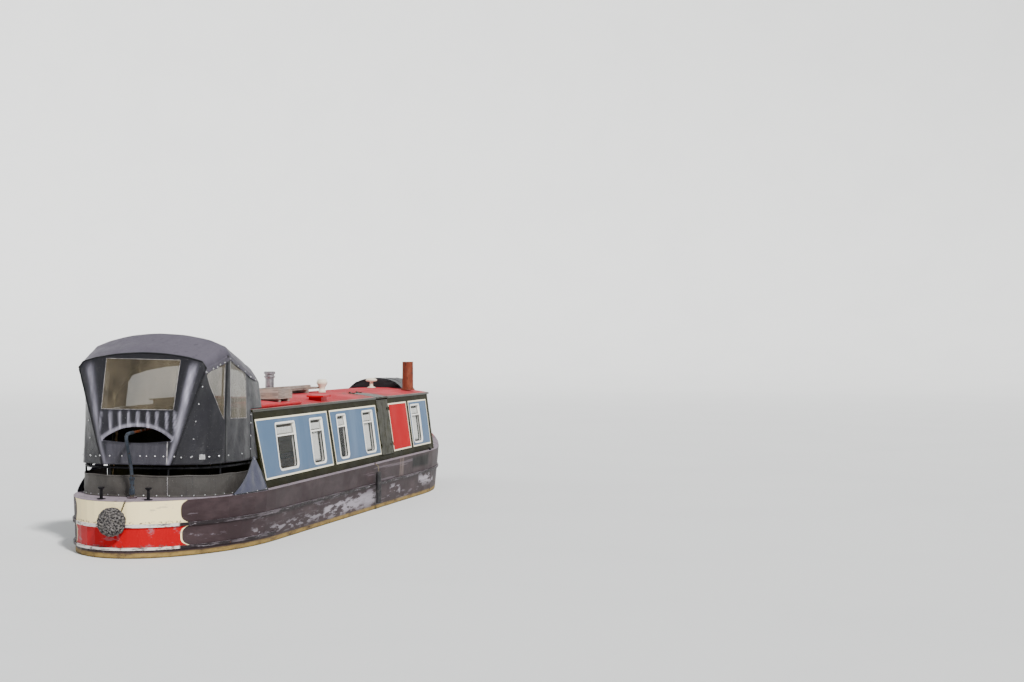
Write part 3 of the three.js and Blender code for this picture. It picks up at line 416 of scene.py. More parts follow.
        # Only the floor and the walls' inner faces, so that the bottom plate and the swim stay blacked
        inner = c.beyond(c.add("Math", c.aside, c.y, operation="MULTIPLY"), -0.3, -0.1)
        facing = c.add("Math", c.beyond(c.up, 0.5, 0.1), inner, operation="MAXIMUM")
        under = c.both(cabin, c.beyond(c.z, 1.05, -0.01), facing)
        c.tint(under, "#8d6b48")
        c.tint(c.both(under, c.mottle(0.02, 0.45, 0.6, (0.1, 1, 1)), 0.4), "#6a4c30")
        well = c.beyond(
            c.convex(c.x, side, [(3.25, -1), (5.6, -1), (5.4, 0.4), (4.4, 0.6), (3.25, 0.93)]), 0.0, -0.02
        )
        c.tint(c.both(well, c.beyond(c.up, 0.8, 0.1), c.mottle(0.3, 0.1, 0.6)), "#8e3a38")


@dataclass(frozen=True)
class StrakePaint:
    """Black paint on a half-round steel bar, knocked to pale grey and bare metal along its outer edge."""

    def make(self) -> bpy.types.Material:
        """Build the material.

        Returns:
            The material.
        """
        c = Coat("strake_black_paint", "#241e20", 0.5, Specular_IOR_Level=0.2)
        c.tint(c.mottle(0.09, 0.5, 0.66, (0.25, 1, 2), 8.0), "#574f54")
        c.tint(c.both(c.mottle(0.05, 0.6, 0.66, (0.2, 1, 3), 8.0), 0.7), "#8f888e")
        c.tint(c.both(c.beyond(c.up, 0.6, 0.2), c.mottle(0.05, 0.38, 0.62, (0.3, 1, 1))), "#7d757b")
        side = c.add("Math", c.y, operation="ABSOLUTE")
        bands = c.both(
            c.beyond(c.x, STERN + 1.2, -0.01), c.beyond(side, 0.575, -0.01), c.beyond(c.z, 1.0, -0.01)
        )
        c.tint(c.both(bands, c.mottle(0.05, 0.36, 0.5, (1, 0.3, 3), 8.0)), "#cfc9c4")
        c.tint(c.both(c.mottle(0.05, 0.66, 0.7), 0.7), "#6a3d28")
        c.gloss(c.mottle(0.05, 0.4, 0.6), 0.65)
        c.lift(c.mottle(0.015, 0.4, 0.7), 0.0004)
        return c.done()


@dataclass(frozen=True)
class BlackedSteel:
    """Tar-blacked steel under water: matt, with a brown growth and small blooms of rust."""

    def make(self) -> bpy.types.Material:
        """Build the material.

        Returns:
            The material.
        """
        c = Coat("blacked_underwater_steel", "#2b2725", 0.7)
        c.tint(c.mottle(0.08, 0.45, 0.65), "#4d4330")
        c.tint(c.mottle(0.03, 0.58, 0.66), "#6d3d22")
        c.gloss(c.mottle(0.05), 0.85)
        c.lift(c.mottle(0.012, 0.4, 0.7), 0.0006)
        return c.done()


@dataclass(frozen=True)
class CabinPanels:
    """Coach enamel brushed on steel: grey-blue panels and a red one in cream lines, on an olive ground."""

    ground: str = "#1c1b0c"
    blue: str = "#546a84"
    red: str = "#ac000f"
    cream: str = "#f6ecd0"
    line: float = 0.019
    foot: tuple[float, float] = (1.182, 0.0045)  # the panels' foot at the stern, and its rise for each metre
    head: tuple[float, float] = (1.868, 0.0012)  # the same for their head

    def make(self) -> bpy.types.Material:
        """Build the material.

        Returns:
            The material.
        """
        c = Coat("cabin_coach_enamel", self.ground, 0.5, Specular_IOR_Level=0.03)
        c.tint(c.both(c.mottle(0.5, 0.4, 0.7, (0.6, 1, 1.4)), 0.6), "#2a2914")
        # Columns: aft edge at the head and at the foot, fore edge at the head and at the foot, colour
        panels = (
            (1.70, 1.83, 4.10, 4.14, self.blue),
            (4.19, 4.25, 6.10, 6.13, self.blue),
            (6.69, 6.72, 7.56, 7.585, self.red),
            (7.66, 7.69, 8.60, 8.61, self.blue),
        )
        for aft_head, aft_foot, fore_head, fore_foot, colour in panels:
            ends = (
                (aft_foot, self.foot), (fore_foot, self.foot), (fore_head, self.head), (aft_head, self.head)
            )
            corners = [(STERN + s, height + rise * s) for s, (height, rise) in ends]
            away = c.convex(c.x, c.z, corners)
            c.tint(c.beyond(away, 0.0, -0.0012), self.cream)
            fill = c.beyond(away, -self.line, -0.0012)
            c.tint(fill, colour)
            if colour == self.blue:
                # The blue has faded in upright streaks and bloomed towards the foot
                c.tint(c.both(fill, c.mottle(0.5, 0.42, 0.72, (1.6, 1, 0.25)), 0.45), "#6c8199")
                foot = c.add("MapRange", c.z, 1.5, 1.2, 0.0, 0.35)
                c.tint(c.both(fill, foot, c.mottle(0.4, 0.3, 0.6)), "#6a7386")
            else:
                c.tint(c.both(fill, c.mottle(0.3, 0.45, 0.75), 0.4), "#b80a0c")
        c.tint(c.both(c.mottle(0.03, 0.6, 0.8, (1, 1, 0.06)), 0.16), "#3f3a30")
        c.gloss(c.mottle(0.4, 0.4, 0.7), 0.42)
        # Inside, the wall is lined with varnished ply
        lining = c.beyond(c.add("Math", c.aside, c.y, operation="MULTIPLY"), -0.5, -0.1)
        c.tint(lining, "#c9ad83")
        c.tint(c.both(lining, c.mottle(0.03, 0.45, 0.6, (0.08, 1, 1)), 0.4), "#a8865a")
        c.lift(c.mottle(0.6, 0.3, 0.7, (1, 1, 0.6)), 0.0016)
        c.lift(c.mottle(0.004, 0.3, 0.7, (1, 1, 0.1)), 0.00003)
        return c.done()


@dataclass(frozen=True)
class Enamel:
    """Gloss enamel on steel or wood: even colour with brush marks, dulled patches and small chips."""

    name: str
    colour: str
    faded: str
    chip: str = "#4a3a30"
    roughness: float = 0.32
    chips: float = 0.68

    def make(self) -> bpy.types.Material:
        """Build the material.

        Returns:
            The material.
        """
        c = Coat(self.name, self.colour, self.roughness, Specular_IOR_Level=0.06)
        c.tint(c.both(c.mottle(0.12, 0.4, 0.7), 0.6), self.faded)
        c.tint(c.both(c.mottle(0.02, 0.6, 0.8, (1, 1, 0.2)), 0.2), "#5a5148")
        chip = c.mottle(0.025, self.chips, self.chips + 0.02, detail=6.0)
        c.tint(chip, self.chip)
        c.gloss(chip, 0.8)
        c.gloss(c.both(c.mottle(0.1, 0.4, 0.7), 0.7), self.roughness + 0.2)
        c.lift(c.mottle(0.003, 0.3, 0.7, (1, 1, 0.2)), 0.00004)
        c.lift(chip, -0.0002)
        return c.done()


@dataclass(frozen=True)
class RoofPaint:
    """Gritty red deck paint: chalked pink by the sun, dirty along its edges, with an olive rim."""

    red: str = "#b0222e"
    chalk: str = "#c8464e"
    rim: str = "#1f1e0e"
    bead: str = "#7a7970"

    def make(self) -> bpy.types.Material:
        """Build the material.

        Returns:
            The material.
        """
        c = Coat("roof_deck_paint", self.red, 0.75, Specular_IOR_Level=0.2)
        side = c.add("Math", c.y, operation="ABSOLUTE")
        c.tint(c.mottle(0.6, 0.4, 0.66, detail=6.0), self.chalk)
        c.tint(c.both(c.mottle(0.16, 0.54, 0.7, (0.5, 1, 1), 8.0), 0.6), "#9c4a48")
        c.tint(c.both(c.mottle(0.07, 0.6, 0.68, detail=8.0), 0.5), "#7d5f58")
        # Drips and leaf stains beside the side hatch
        hatch = c.beyond(
            c.convex(c.x, c.y, [(0.2, -0.84), (1.5, -0.84), (1.3, -0.3), (0.4, -0.3)]), 0.0, -0.1
        )
        c.tint(c.both(hatch, c.mottle(0.1, 0.44, 0.56), 0.7), "#6f5a50")
        c.tint(c.both(c.beyond(side, 0.74, 0.05), c.mottle(0.08, 0.42, 0.62), 0.6), "#7a5a52")
        edge = c.beyond(side, 0.822, 0.001)
        c.tint(edge, self.bead)
        c.tint(c.both(edge, c.mottle(0.05, 0.5, 0.6, (0.3, 1, 1))), "#5e5b4c")
        rim = c.beyond(c.up, 0.6, -0.1)
        c.tint(rim, self.rim)
        c.tint(c.beyond(c.up, -0.6, -0.1), "#d9cfb8")
        c.gloss(edge, 0.45)
        c.gloss(rim, 0.35)
        # The grit in the paint is drawn at 5 mm, coarser than it is, so that it shows
        c.lift(c.both(c.mottle(0.005, 0.4, 0.6), c.beyond(c.up, 0.8, 0.05)), 0.0005)
        c.lift(c.mottle(0.7, 0.3, 0.7), 0.002)
        return c.done()


@dataclass(frozen=True)
class BareMetal:
    """A bare or plated metal: bright where it is rubbed, clouded where it has weathered."""

    name: str
    colour: str
    cloud: str
    roughness: float
    rust: str | None = None
    rusty: float = 0.55

    def make(self) -> bpy.types.Material:
        """Build the material.

        Returns:
            The material.
        """
        c = Coat(self.name, self.colour, self.roughness, 1.0)
        c.tint(c.mottle(0.05, 0.4, 0.7), self.cloud)
        c.gloss(c.mottle(0.03, 0.4, 0.7), min(1.0, self.roughness + 0.25))
        if self.rust:
            spots = c.mottle(0.05, self.rusty, self.rusty + 0.06, (1, 1, 0.5), 8.0)
            c.tint(spots, self.rust)
            c.gloss(spots, 0.85)
            c.lift(spots, 0.0003)
        c.lift(c.mottle(0.006, 0.4, 0.7), 0.00008)
        return c.done()


@dataclass(frozen=True)
class RustyTube:
    """A steel chimney tube rusted all over: a matt skin of oxide from orange to brown."""

    def make(self) -> bpy.types.Material:
        """Build the material.

        Returns:
            The material.
        """
        c = Coat("rusted_steel_tube", "#6a3020", 0.85, Specular_IOR_Level=0.2)
        c.tint(c.mottle(0.06, 0.42, 0.62, (1, 1, 0.3)), "#7f4430")
        c.tint(c.mottle(0.03, 0.52, 0.64, (1, 1, 0.3), 8.0), "#42221a")
        c.tint(c.both(c.mottle(0.1, 0.6, 0.7), 0.6), "#3f3532")
        c.gloss(c.mottle(0.04), 0.7)
        c.lift(c.mottle(0.006, 0.4, 0.7, detail=6.0), 0.0006)
        return c.done()


@dataclass(frozen=True)
class CoatedCloth:
    """PVC-coated polyester cloth: a waxy sheen on soft folds, bleached grey where sun and dust lie, with its
    upper faces also painted lighter for the sky's light and a painted highlight on the crests of its folds.
    """

    name: str
    colour: str
    bleached: str
    roughness: float = 0.5
    top: float = 0.7
    # the pale tint of the folds' crests: rubbed cloth with a painted highlight
    rubbed: str = "#8e8b9a"
    thread: float = 0.003  # drawn coarser than it is, so that it shows

    def make(self) -> bpy.types.Material:
        """Build the material.

        Returns:
            The material.
        """
        c = Coat(self.name, self.colour, self.roughness, Specular_IOR_Level=0.35)
        # Upper faces lighter: sun bleaching and dust, and a painted sky light
        c.tint(c.both(c.beyond(c.up, 0.55, 0.35), c.mottle(0.5, 0.1, 0.5), self.top), self.bleached)
        c.tint(c.both(c.mottle(0.3, 0.45, 0.75, (1, 1, 0.4), 6.0), 0.45), self.bleached)
        c.tint(c.both(c.mottle(0.05, 0.56, 0.72, (1, 1, 0.15), 6.0), 0.35), "#1c1c20")
        c.tint(c.both(c.mottle(0.012, 0.66, 0.7), 0.4), "#8d8b88")
        c.gloss(c.mottle(0.15, 0.4, 0.7), self.roughness + 0.14)
        # The crests of its folds are stretched and rubbed pale and shiny; the same pale tint is also a
        # painted highlight on them and on the hood's corner rolls and slit lip
        crest = c.add("Attribute", out="Fac", attribute_name="crest")
        patchy = c.add("MapRange", c.mottle(0.04, 0.3, 0.7, (1, 1, 0.15), 6.0), 0.0, 1.0, 0.65, 1.0)
        c.tint(c.both(crest, patchy), self.rubbed)
        c.gloss(crest, 0.3)
        scale = 1 / self.thread / WAVE
        weave = [c.add("TexWave", c.where, scale, bands_direction=way, wave_profile="SIN") for way in "ZX"]
        c.lift(c.both(*weave), 0.00012)
        c.lift(c.mottle(0.12, 0.3, 0.75, detail=6.0), 0.0022)
        return c.done()


@dataclass(frozen=True)
class ClearVinyl:
    """Clear flexible vinyl sewn into the hood: it has yellowed, hazed and carries dust."""

    def make(self) -> bpy.types.Material:
        """Build the material.

        Returns:
            The material.
        """
        c = Coat("clear_vinyl_window", "#5b5243", 0.12, Alpha=0.66, Specular_IOR_Level=0.35)
        c.tint(c.mottle(0.25, 0.35, 0.7, (1, 1, 0.5)), "#3a352b")
        c.tint(c.both(c.mottle(0.05, 0.5, 0.75, (1, 1, 0.15), 2.0), 0.4), "#857a60")
        c.gloss(c.mottle(0.12, 0.4, 0.75), 0.22)
        c.lift(c.mottle(0.2, 0.3, 0.7), 0.003)
        return c.done()


@dataclass(frozen=True)
class WindowGlass:
    """Toughened float glass, slightly grey: a clear mirror edge with a film of dust."""

    def make(self) -> bpy.types.Material:
        """Build the material.

        Returns:
            The material.
        """
        c = Coat("grey_float_glass", "#1b211f", 0.04, Alpha=0.16)
        c.tint(c.both(c.mottle(0.1, 0.5, 0.8), 0.3), "#4b4f4a")
        c.gloss(c.mottle(0.08, 0.5, 0.8), 0.12)
        return c.done()


@dataclass(frozen=True)
class WeatheredWood:
    """Untreated softwood boards, silvered by rain: long grey grain with darker checks and knots."""

    def make(self) -> bpy.types.Material:
        """Build the material.

        Returns:
            The material.
        """
        c = Coat("weathered_softwood", "#9b9086", 0.85)
        end = c.beyond(c.add("Math", c.ahead, operation="ABSOLUTE"), 0.7, 0.1)
        for size, low, high, colour in ((0.02, 0.4, 0.62, "#776b62"), (0.008, 0.56, 0.64, "#4a413b")):
            along_x = c.mottle(size, low, high, (0.06, 1, 1), 6.0)
            along_y = c.mottle(size, low, high, (1, 0.06, 1), 6.0)
            c.tint(c.add("Mix", end, along_x, along_y, data_type="FLOAT"), colour)
        c.tint(c.both(c.mottle(0.25, 0.5, 0.7), 0.5), "#a98f7a")
        c.gloss(c.mottle(0.05), 0.75)
        c.lift(c.mottle(0.006, 0.4, 0.65, (0.05, 1, 1), 6.0), 0.0007)
        return c.done()


@dataclass(frozen=True)
class FenderRope:
    """Tarred and wet rope of a button fender: black strands rubbed to grey-white on their crowns."""

    name: str
    dark: str
    pale: str
    lay: float = 0.007  # from one twist of a strand to the next

    def make(self) -> bpy.types.Material:
        """Build the material.

        Returns:
            The material.
        """
        c = Coat(self.name, self.dark, 0.9)
        c.tint(c.mottle(0.02, 0.42, 0.6, detail=3.0), self.pale)
        c.tint(c.both(c.mottle(0.05, 0.55, 0.65), 0.6), "#57524b")
        c.gloss(c.mottle(0.02), 0.75)
        lay = c.add("TexWave", c.where, 1 / self.lay / WAVE, 3.0, 2.0, bands_direction="DIAGONAL")
        c.lift(lay, 0.0012)
        return c.done()


@dataclass(frozen=True)
class BlackRubber:
    """Moulded black rubber or soft PVC: a dull skin, grey with dried silt."""

    def make(self) -> bpy.types.Material:
        """Build the material.

        Returns:
            The material.
        """
        c = Coat("moulded_black_rubber", "#1b1a1c", 0.6)
        c.tint(c.both(c.mottle(0.05, 0.45, 0.7), 0.5), "#45413f")
        c.gloss(c.mottle(0.04), 0.8)
        c.lift(c.mottle(0.004, 0.4, 0.7), 0.0002)
        return c.done()


@dataclass(frozen=True)
class Thread:
    """Polyester thread or tape, off-white: matt, a little dirty."""

    name: str = "white_stitching_thread"
    colour: str = "#a09c9c"

    def make(self) -> bpy.types.Material:
        """Build the material.

        Returns:
            The material.
        """
        c = Coat(self.name, self.colour, 0.8)
        c.tint(c.both(c.mottle(0.05, 0.42, 0.6), 0.8), "#5f5c5e")
        c.lift(c.mottle(0.004, 0.4, 0.6), 0.0004)
        return c.done()


@dataclass(frozen=True)
class NetCloth:
    """White blind and curtain cloth: matt, a little grey in its folds."""

    def make(self) -> bpy.types.Material:
        """Build the material.

        Returns:
            The material.
        """
        c = Coat("white_net_cloth", "#f7f6f0", 0.9)
        c.tint(c.both(c.mottle(0.02, 0.45, 0.75, (1, 1, 0.05)), 0.25), "#d8d5ca")
        c.lift(c.mottle(0.003, 0.4, 0.6), 0.0003)
        return c.done()


@dataclass(frozen=True)
class StudioFloor:
    """Pale painted screed: matt and almost even."""

    def make(self) -> bpy.types.Material:
        """Build the material.

        Returns:
            The material.
        """
        c = Coat("pale_studio_floor", "#ececea", 0.8)
        c.tint(c.both(c.mottle(3.0, 0.4, 0.7), 0.3), "#e4e4e3")
        c.lift(c.mottle(0.2, 0.3, 0.7), 0.0004)
        return c.done()


class Look(enum.Enum):
    """The finishes of the boat and of the studio it stands in."""

    HULL = HullPaint()
    STRAKE = StrakePaint()
    UNDERWATER = BlackedSteel()
    PANELS = CabinPanels()
    OLIVE = Enamel("olive_enamel", "#1f1e0e", "#302e1a")
    ROOF = RoofPaint()
    BRIGHT_RED = Enamel("bright_red_enamel", "#a80414", "#bc1424", "#7a1218", 0.36, 0.74)
    CREAM = Enamel("cream_enamel", "#e8dfca", "#cfc4ac", "#8b7a63", 0.35, 0.66)
    FRAME_WHITE = Enamel("white_window_enamel", "#f3f1ea", "#dcd8cc", "#9a9488", 0.28, 0.74)
    TILLER_BLUE = Enamel("grey_blue_enamel", "#282d34", "#4b5159", "#33291f", 0.38, 0.6)
    ENGINE = Enamel("engine_green_enamel", "#4b6b5a", "#3f5a4d", "#2f2a26", 0.4, 0.6)
    # The hood's hoops: steel drawn almost black, a painted shade for the shadow under the hood
    TUBE = BareMetal("dull_steel_tube", "#2b2b2d", "#1b1b1d", 0.5)
    BLACK = Enamel("black_enamel", "#161517", "#2b292b", "#6b4a36", 0.4, 0.66)
    TIN = BareMetal("galvanised_tin", "#a39fa2", "#8b868b", 0.42, "#7a6a60", 0.66)
    TILLER_STEEL = BareMetal("worn_tiller_steel", "#7d6a5c", "#5e4c40", 0.45, "#7a4226", 0.44)
    BRONZE = BareMetal("cast_bronze", "#8f6b3a", "#6b5a38", 0.35)
    SNAP = BareMetal("nickel_plated_brass", "#d6d6d6", "#b0b0b2", 0.18)
    CHIMNEY = RustyTube()
    HOOD = CoatedCloth("charcoal_hood_cloth", "#17161b", "#29282f", 0.36, 0.5, "#b7b3c3")
    # The roof's and valance's cloth: the walls' cloth drawn lighter, a painted light for the sky above it
    HOOD_TOP_SKYLIT = CoatedCloth("grey_hood_roof_cloth", "#403c45", "#5f5a64", 0.5, 0.8)
    DODGER = CoatedCloth("weathered_dodger_cloth", "#383532", "#5a5551", 0.55, 0.6)
    CLOAK = CoatedCloth("bluish_cloak_cloth", "#3a3b4a", "#5c5d70", 0.45, 0.6)
    CRATCH = CoatedCloth("black_cratch_cloth", "#131316", "#2a2a2e", 0.45, 0.6)
    WELT = CoatedCloth("black_welt_cloth", "#0f0f12", "#1d1d21", 0.4, 0.2)
    VINYL = ClearVinyl()
    GLASS = WindowGlass()
    WOOD = WeatheredWood()
    BUTTON_ROPE = FenderRope("button_fender_rope", "#1a181a", "#67625f")
    LANYARD = FenderRope("hemp_lanyard", "#5e5240", "#8f8266")
    RUBBER = BlackRubber()
    THREAD = Thread()
    PATCH = Thread("bare_white_patch", "#f1f1f0")
    NET = NetCloth()
    FLOOR = StudioFloor()

    def material(self) -> bpy.types.Material:
        """Build this finish's material, the first time that it is asked for.

        Returns:
            The material.
        """
        made = _MADE.get(self)
        if made is None:
            made = _MADE[self] = self.value.make()
        return made


_MADE: dict[Look, bpy.types.Material] = {}


# Mesh tools


def settle(
    obj: bpy.types.Object,
    name: str,
    looks: Sequence[Look],
    slot: str,
    replaces: Sequence[str] = (),
) -> bpy.types.Object:
    """Name a finished piece, give it its materials and place it on the boat.

    Args:
        obj: the piece, with its place in its mesh.
        name: the piece's name.
        looks: the finishes of its material slots in order.
        slot: the record's slot that it takes its finish from; not used.
        replaces: the CAD nodes that it stands for.

    Returns:
        The piece.
    """
    obj.name = obj.data.name = name
    if not obj.data.materials:
        for look in looks:
            obj.data.materials.append(look.material())
    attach(obj, "boat")
    if replaces:
        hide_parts(*replaces)
    log.info("%s: %d faces", name, len(obj.data.polygons))
    return obj


def face_out(bm: bmesh.types.BMesh, core: Vector) -> None:
    """Turn an open sheet's faces away from a place inside it."""
    if sum(face.normal.dot(face.calc_center_median() - core) * face.calc_area() for face in bm.faces) < 0:
        bmesh.ops.reverse_faces(bm, faces=bm.faces)


def from_bmesh(bm: bmesh.types.BMesh, name: str) -> bpy.types.Object:
    """Turn a mesh in the making to an object with smooth faces.

    Args:
        bm: the mesh, which is freed.
        name: the object's name.

    Returns:
        The object.
    """
    mesh = bpy.data.meshes.new(name)
    bm.to_mesh(mesh)
    bm.free()
    obj = bpy.data.objects.new(name, mesh)
    bpy.context.scene.collection.objects.link(obj)
    mesh.polygons.foreach_set("use_smooth", [True] * len(mesh.polygons))
    return obj


def active(obj: bpy.types.Object) -> None:
    """Select one object alone."""
    bpy.ops.object.select_all(action="DESELECT")
    obj.select_set(True)
    bpy.context.view_layer.objects.active = obj


def apply(obj: bpy.types.Object, kind: str, **settings: Any) -> None:
    """Add a modifier to a piece and apply it.

    Args:
        obj: the piece.
        kind: the modifier's type.
        settings: the modifier's properties.
    """
    active(obj)
    modifier = obj.modifiers.new(kind.lower(), kind)
    for key, value in settings.items():
        setattr(modifier, key, value)
    bpy.ops.object.modifier_apply(modifier=modifier.name)


@contextlib.contextmanager
def editing() -> Iterator[None]:
    """Hold the active piece in edit mode, with all of it selected at first."""
    bpy.ops.object.mode_set(mode="EDIT")
    bpy.ops.mesh.select_all(action="SELECT")
    yield
    bpy.ops.object.mode_set(mode="OBJECT")


def pick(test: Callable[[Vector, Vector], bool], kind: str = "FACE") -> None:
    """Select faces, edges or vertices of the mesh in edit mode.

    Args:
        test: takes a place and a normal, and says whether the element there is selected.
        kind: FACE, EDGE or VERT.
    """
    bpy.ops.mesh.select_all(action="DESELECT")
    bpy.ops.mesh.select_mode(type=kind)
    bm = bmesh.from_edit_mesh(bpy.context.edit_object.data)
    if kind == "FACE":
        for face in bm.faces:
            face.select_set(test(face.calc_center_median(), face.normal))
    elif kind == "EDGE":
        for edge in bm.edges:
            edge.select_set(
                test((edge.verts[0].co + edge.verts[1].co) / 2, edge.verts[0].co - edge.verts[1].co)
            )
    else:
        for vert in bm.verts:
            vert.select_set(test(vert.co, vert.normal))
    bm.select_flush_mode()
    bmesh.update_edit_mesh(bpy.context.edit_object.data)


def join(parts: Sequence[bpy.types.Object]) -> bpy.types.Object:
    """Join objects to the first of them.

    Args:
        parts: the objects.

    Returns:
        The first.
    """
    bpy.ops.object.select_all(action="DESELECT")
    for part in parts:
        part.select_set(True)
    bpy.context.view_layer.objects.active = parts[0]
    bpy.ops.object.join()
    return parts[0]


def grid_sheet(
    name: str,
    place: Callable[[float, float], Vector],
    columns: int,
    rows: int,
    core: Vector,
    thickness: float = 0.0025,
) -> bpy.types.Object:
    """Make a sheet of cloth from a function of its two directions.

    Args:
        name: the piece's name.
        place: gives the outer face's point from two shares between 0 and 1.
        columns: steps along the first direction.
        rows: steps along the second direction.
        core: a place inside, which the outer face is turned away from.
        thickness: the cloth's thickness in metres, laid inward.

    Returns:
        The sheet.
    """
    bm = bmesh.new()
    verts = [
        [bm.verts.new(place(i / columns, j / rows)) for j in range(rows + 1)] for i in range(columns + 1)
    ]
    for i in range(columns):
        for j in range(rows):
            bm.faces.new((verts[i][j], verts[i + 1][j], verts[i + 1][j + 1], verts[i][j + 1]))
    bm.normal_update()
    face_out(bm, core)
    sheet = from_bmesh(bm, name)
    apply(sheet, "SOLIDIFY", thickness=thickness, offset=-1.0, use_even_offset=False)
    return sheet


def circle(middle: Vector, across: Vector, other: Vector, radius: float, count: int) -> list[Vector]:
    """Divide a circle evenly.

    Args:
        middle: its centre.
        across: the way to its first point.
        other: the way to the point a quarter turn on.
        radius: its radius in metres.
        count: how many points it gets.

    Returns:
        The points.
    """
    turns = [2 * math.pi * k / count for k in range(count)]
    return [middle + radius * (math.cos(a) * across + math.sin(a) * other) for a in turns]


def skin(bm: bmesh.types.BMesh, rings: Sequence[Sequence[bmesh.types.BMVert]], ends: bool = True) -> None:
    """Lay faces between rings of vertices.

    Args:
        bm: the mesh.
        rings: the rings in order, all with the same number of vertices.
        ends: whether the first and the last ring are closed with a face.
    """
    for near, far in zip(rings, rings[1:]):
        for k in range(len(near)):
            n = (k + 1) % len(near)
            bm.faces.new((near[k], near[n], far[n], far[k]))
    if ends:
        bm.faces.new(list(reversed(rings[0])))
        bm.faces.new(rings[-1])


def tube(
    name: str, points: Sequence[Vector], radius: float, sides: int = 8, closed: bool = False
) -> bpy.types.Object:
    """Sweep a round section along points.

    Args:
        name: the piece's name.
        points: the centre line, close enough together to look smooth.
        radius: the section's radius in metres.
        sides: the section's corners.
        closed: whether the line meets its own start.

    Returns:
        The tube.
    """
    bm = bmesh.new()
    count = len(points)
    rings = []
    side_way = None
    for i, point in enumerate(points):
        before = points[i - 1] if i or closed else point
        after = points[(i + 1) % count] if i + 1 < count or closed else point
        run = (after - before).normalized()
        if side_way is None:
            side_way = run.orthogonal().normalized()
        side_way = (side_way - side_way.dot(run) * run).normalized()
        rings.append([bm.verts.new(p) for p in circle(point, side_way, run.cross(side_way), radius, sides)])
    skin(bm, [*rings, rings[0]] if closed else rings, not closed)
    return from_bmesh(bm, name)


def along(points: Sequence[Vector], spacing: float) -> list[Vector]:
    """Divide the straight runs between points.

    Args:
        points: the points.
        spacing: about how long a step is, in metres.

    Returns:
        The points with those between them.
    """
    steps = []
    for a, b in zip(points, points[1:]):
        count = max(1, round((b - a).length / spacing))
        steps += [a.lerp(b, k / count) for k in range(count)]
    return [*steps, points[-1]]


def ribbon(name: str, laid: Sequence[tuple[Vector, Vector]], width: float, height: float) -> bpy.types.Object:
    """Make a flat tape along places on a surface.

    Args:
        name: the piece's name.
        laid: the places under its middle, each with the surface's normal.
        width: the tape's width in metres.
        height: its thickness in metres.

    Returns:
        The tape.
    """
    bm = bmesh.new()
    rings = []
    for i, (place, normal) in enumerate(laid):
        run = (laid[min(i + 1, len(laid) - 1)][0] - laid[max(i - 1, 0)][0]).normalized()
        across = run.cross(normal).normalized() * width / 2
        corners = (
            place - across,
            place + across,
            place + across * 0.8 + normal * height,
            place - across * 0.8 + normal * height,
        )
        rings.append([bm.verts.new(corner) for corner in corners])
    skin(bm, rings)
    bmesh.ops.recalc_face_normals(bm, faces=bm.faces)
    return from_bmesh(bm, name)


def studs(name: str, laid: Sequence[tuple[Vector, Vector]], radius: float) -> bpy.types.Object:
    """Make a row of snap fasteners on a surface.

    Args:
        name: the piece's name.
        laid: their places, each with the surface's normal.
        radius: a fastener's radius in metres.

    Returns:
        The fasteners as one piece.
    """
    # Columns: shares of the radius, across and up, from the crown out
    profile = ((0.55, 0.8), (0.7, 0.35), (1.0, 0.3), (1.0, 0.0))
    bm = bmesh.new()
    for place, normal in laid:
        across = normal.orthogonal().normalized()
        rings = []
        for share, rise in profile:
            centre = place + normal * radius * rise
            points = circle(centre, across, normal.cross(across), radius * share, 10)
            rings.append([bm.verts.new(point) for point in points])
        skin(bm, rings[::-1])
    return from_bmesh(bm, name)


class Ground:
    """The outside of a cloth, on which tapes and snap fasteners are laid."""

    def __init__(self, cloth: bpy.types.Object, core: Vector) -> None:
        """Read a cloth's faces.

        Args:
            cloth: the cloth.
            core: a place inside, which its outside faces away from.
        """
        bm = bmesh.new()
        bm.from_mesh(cloth.data)
        self.tree = BVHTree.FromBMesh(bm)
        self.core = core
        bm.free()

    def snapped(self, points: Sequence[Vector], lift: float = 0.0) -> list[tuple[Vector, Vector]]:
        """Lay points on the cloth.

        Args:
            points: places near it.
            lift: how far off it they come to lie, in metres.

        Returns:
            The places on it, each with the normal there.
        """
        laid = []
        for point in points:
            place, normal, _, _ = self.tree.find_nearest(point)
            if normal.dot(place - self.core) < 0:
                normal = -normal
            laid.append((place + normal * lift, normal))
        return laid

    def tapes(
        self, lines: Sequence[Sequence[Vector]], width: float, height: float, lift: float = 0.0
    ) -> list[bpy.types.Object]:
        """Sew a tape on along each line, with its width, height and lift in metres."""
        return [ribbon("tape", self.snapped(line, lift), width, height) for line in lines]

    def snaps(
        self, name: str, points: Sequence[Vector], lift: float, radius: float = 0.0075
    ) -> bpy.types.Object:
        """Set a snap fastener of a radius at each point and settle them as one piece with a name."""
        return settle(studs("snaps", self.snapped(points, lift), radius), name, [Look.SNAP], "tube_steel")


# Sub-assemblies


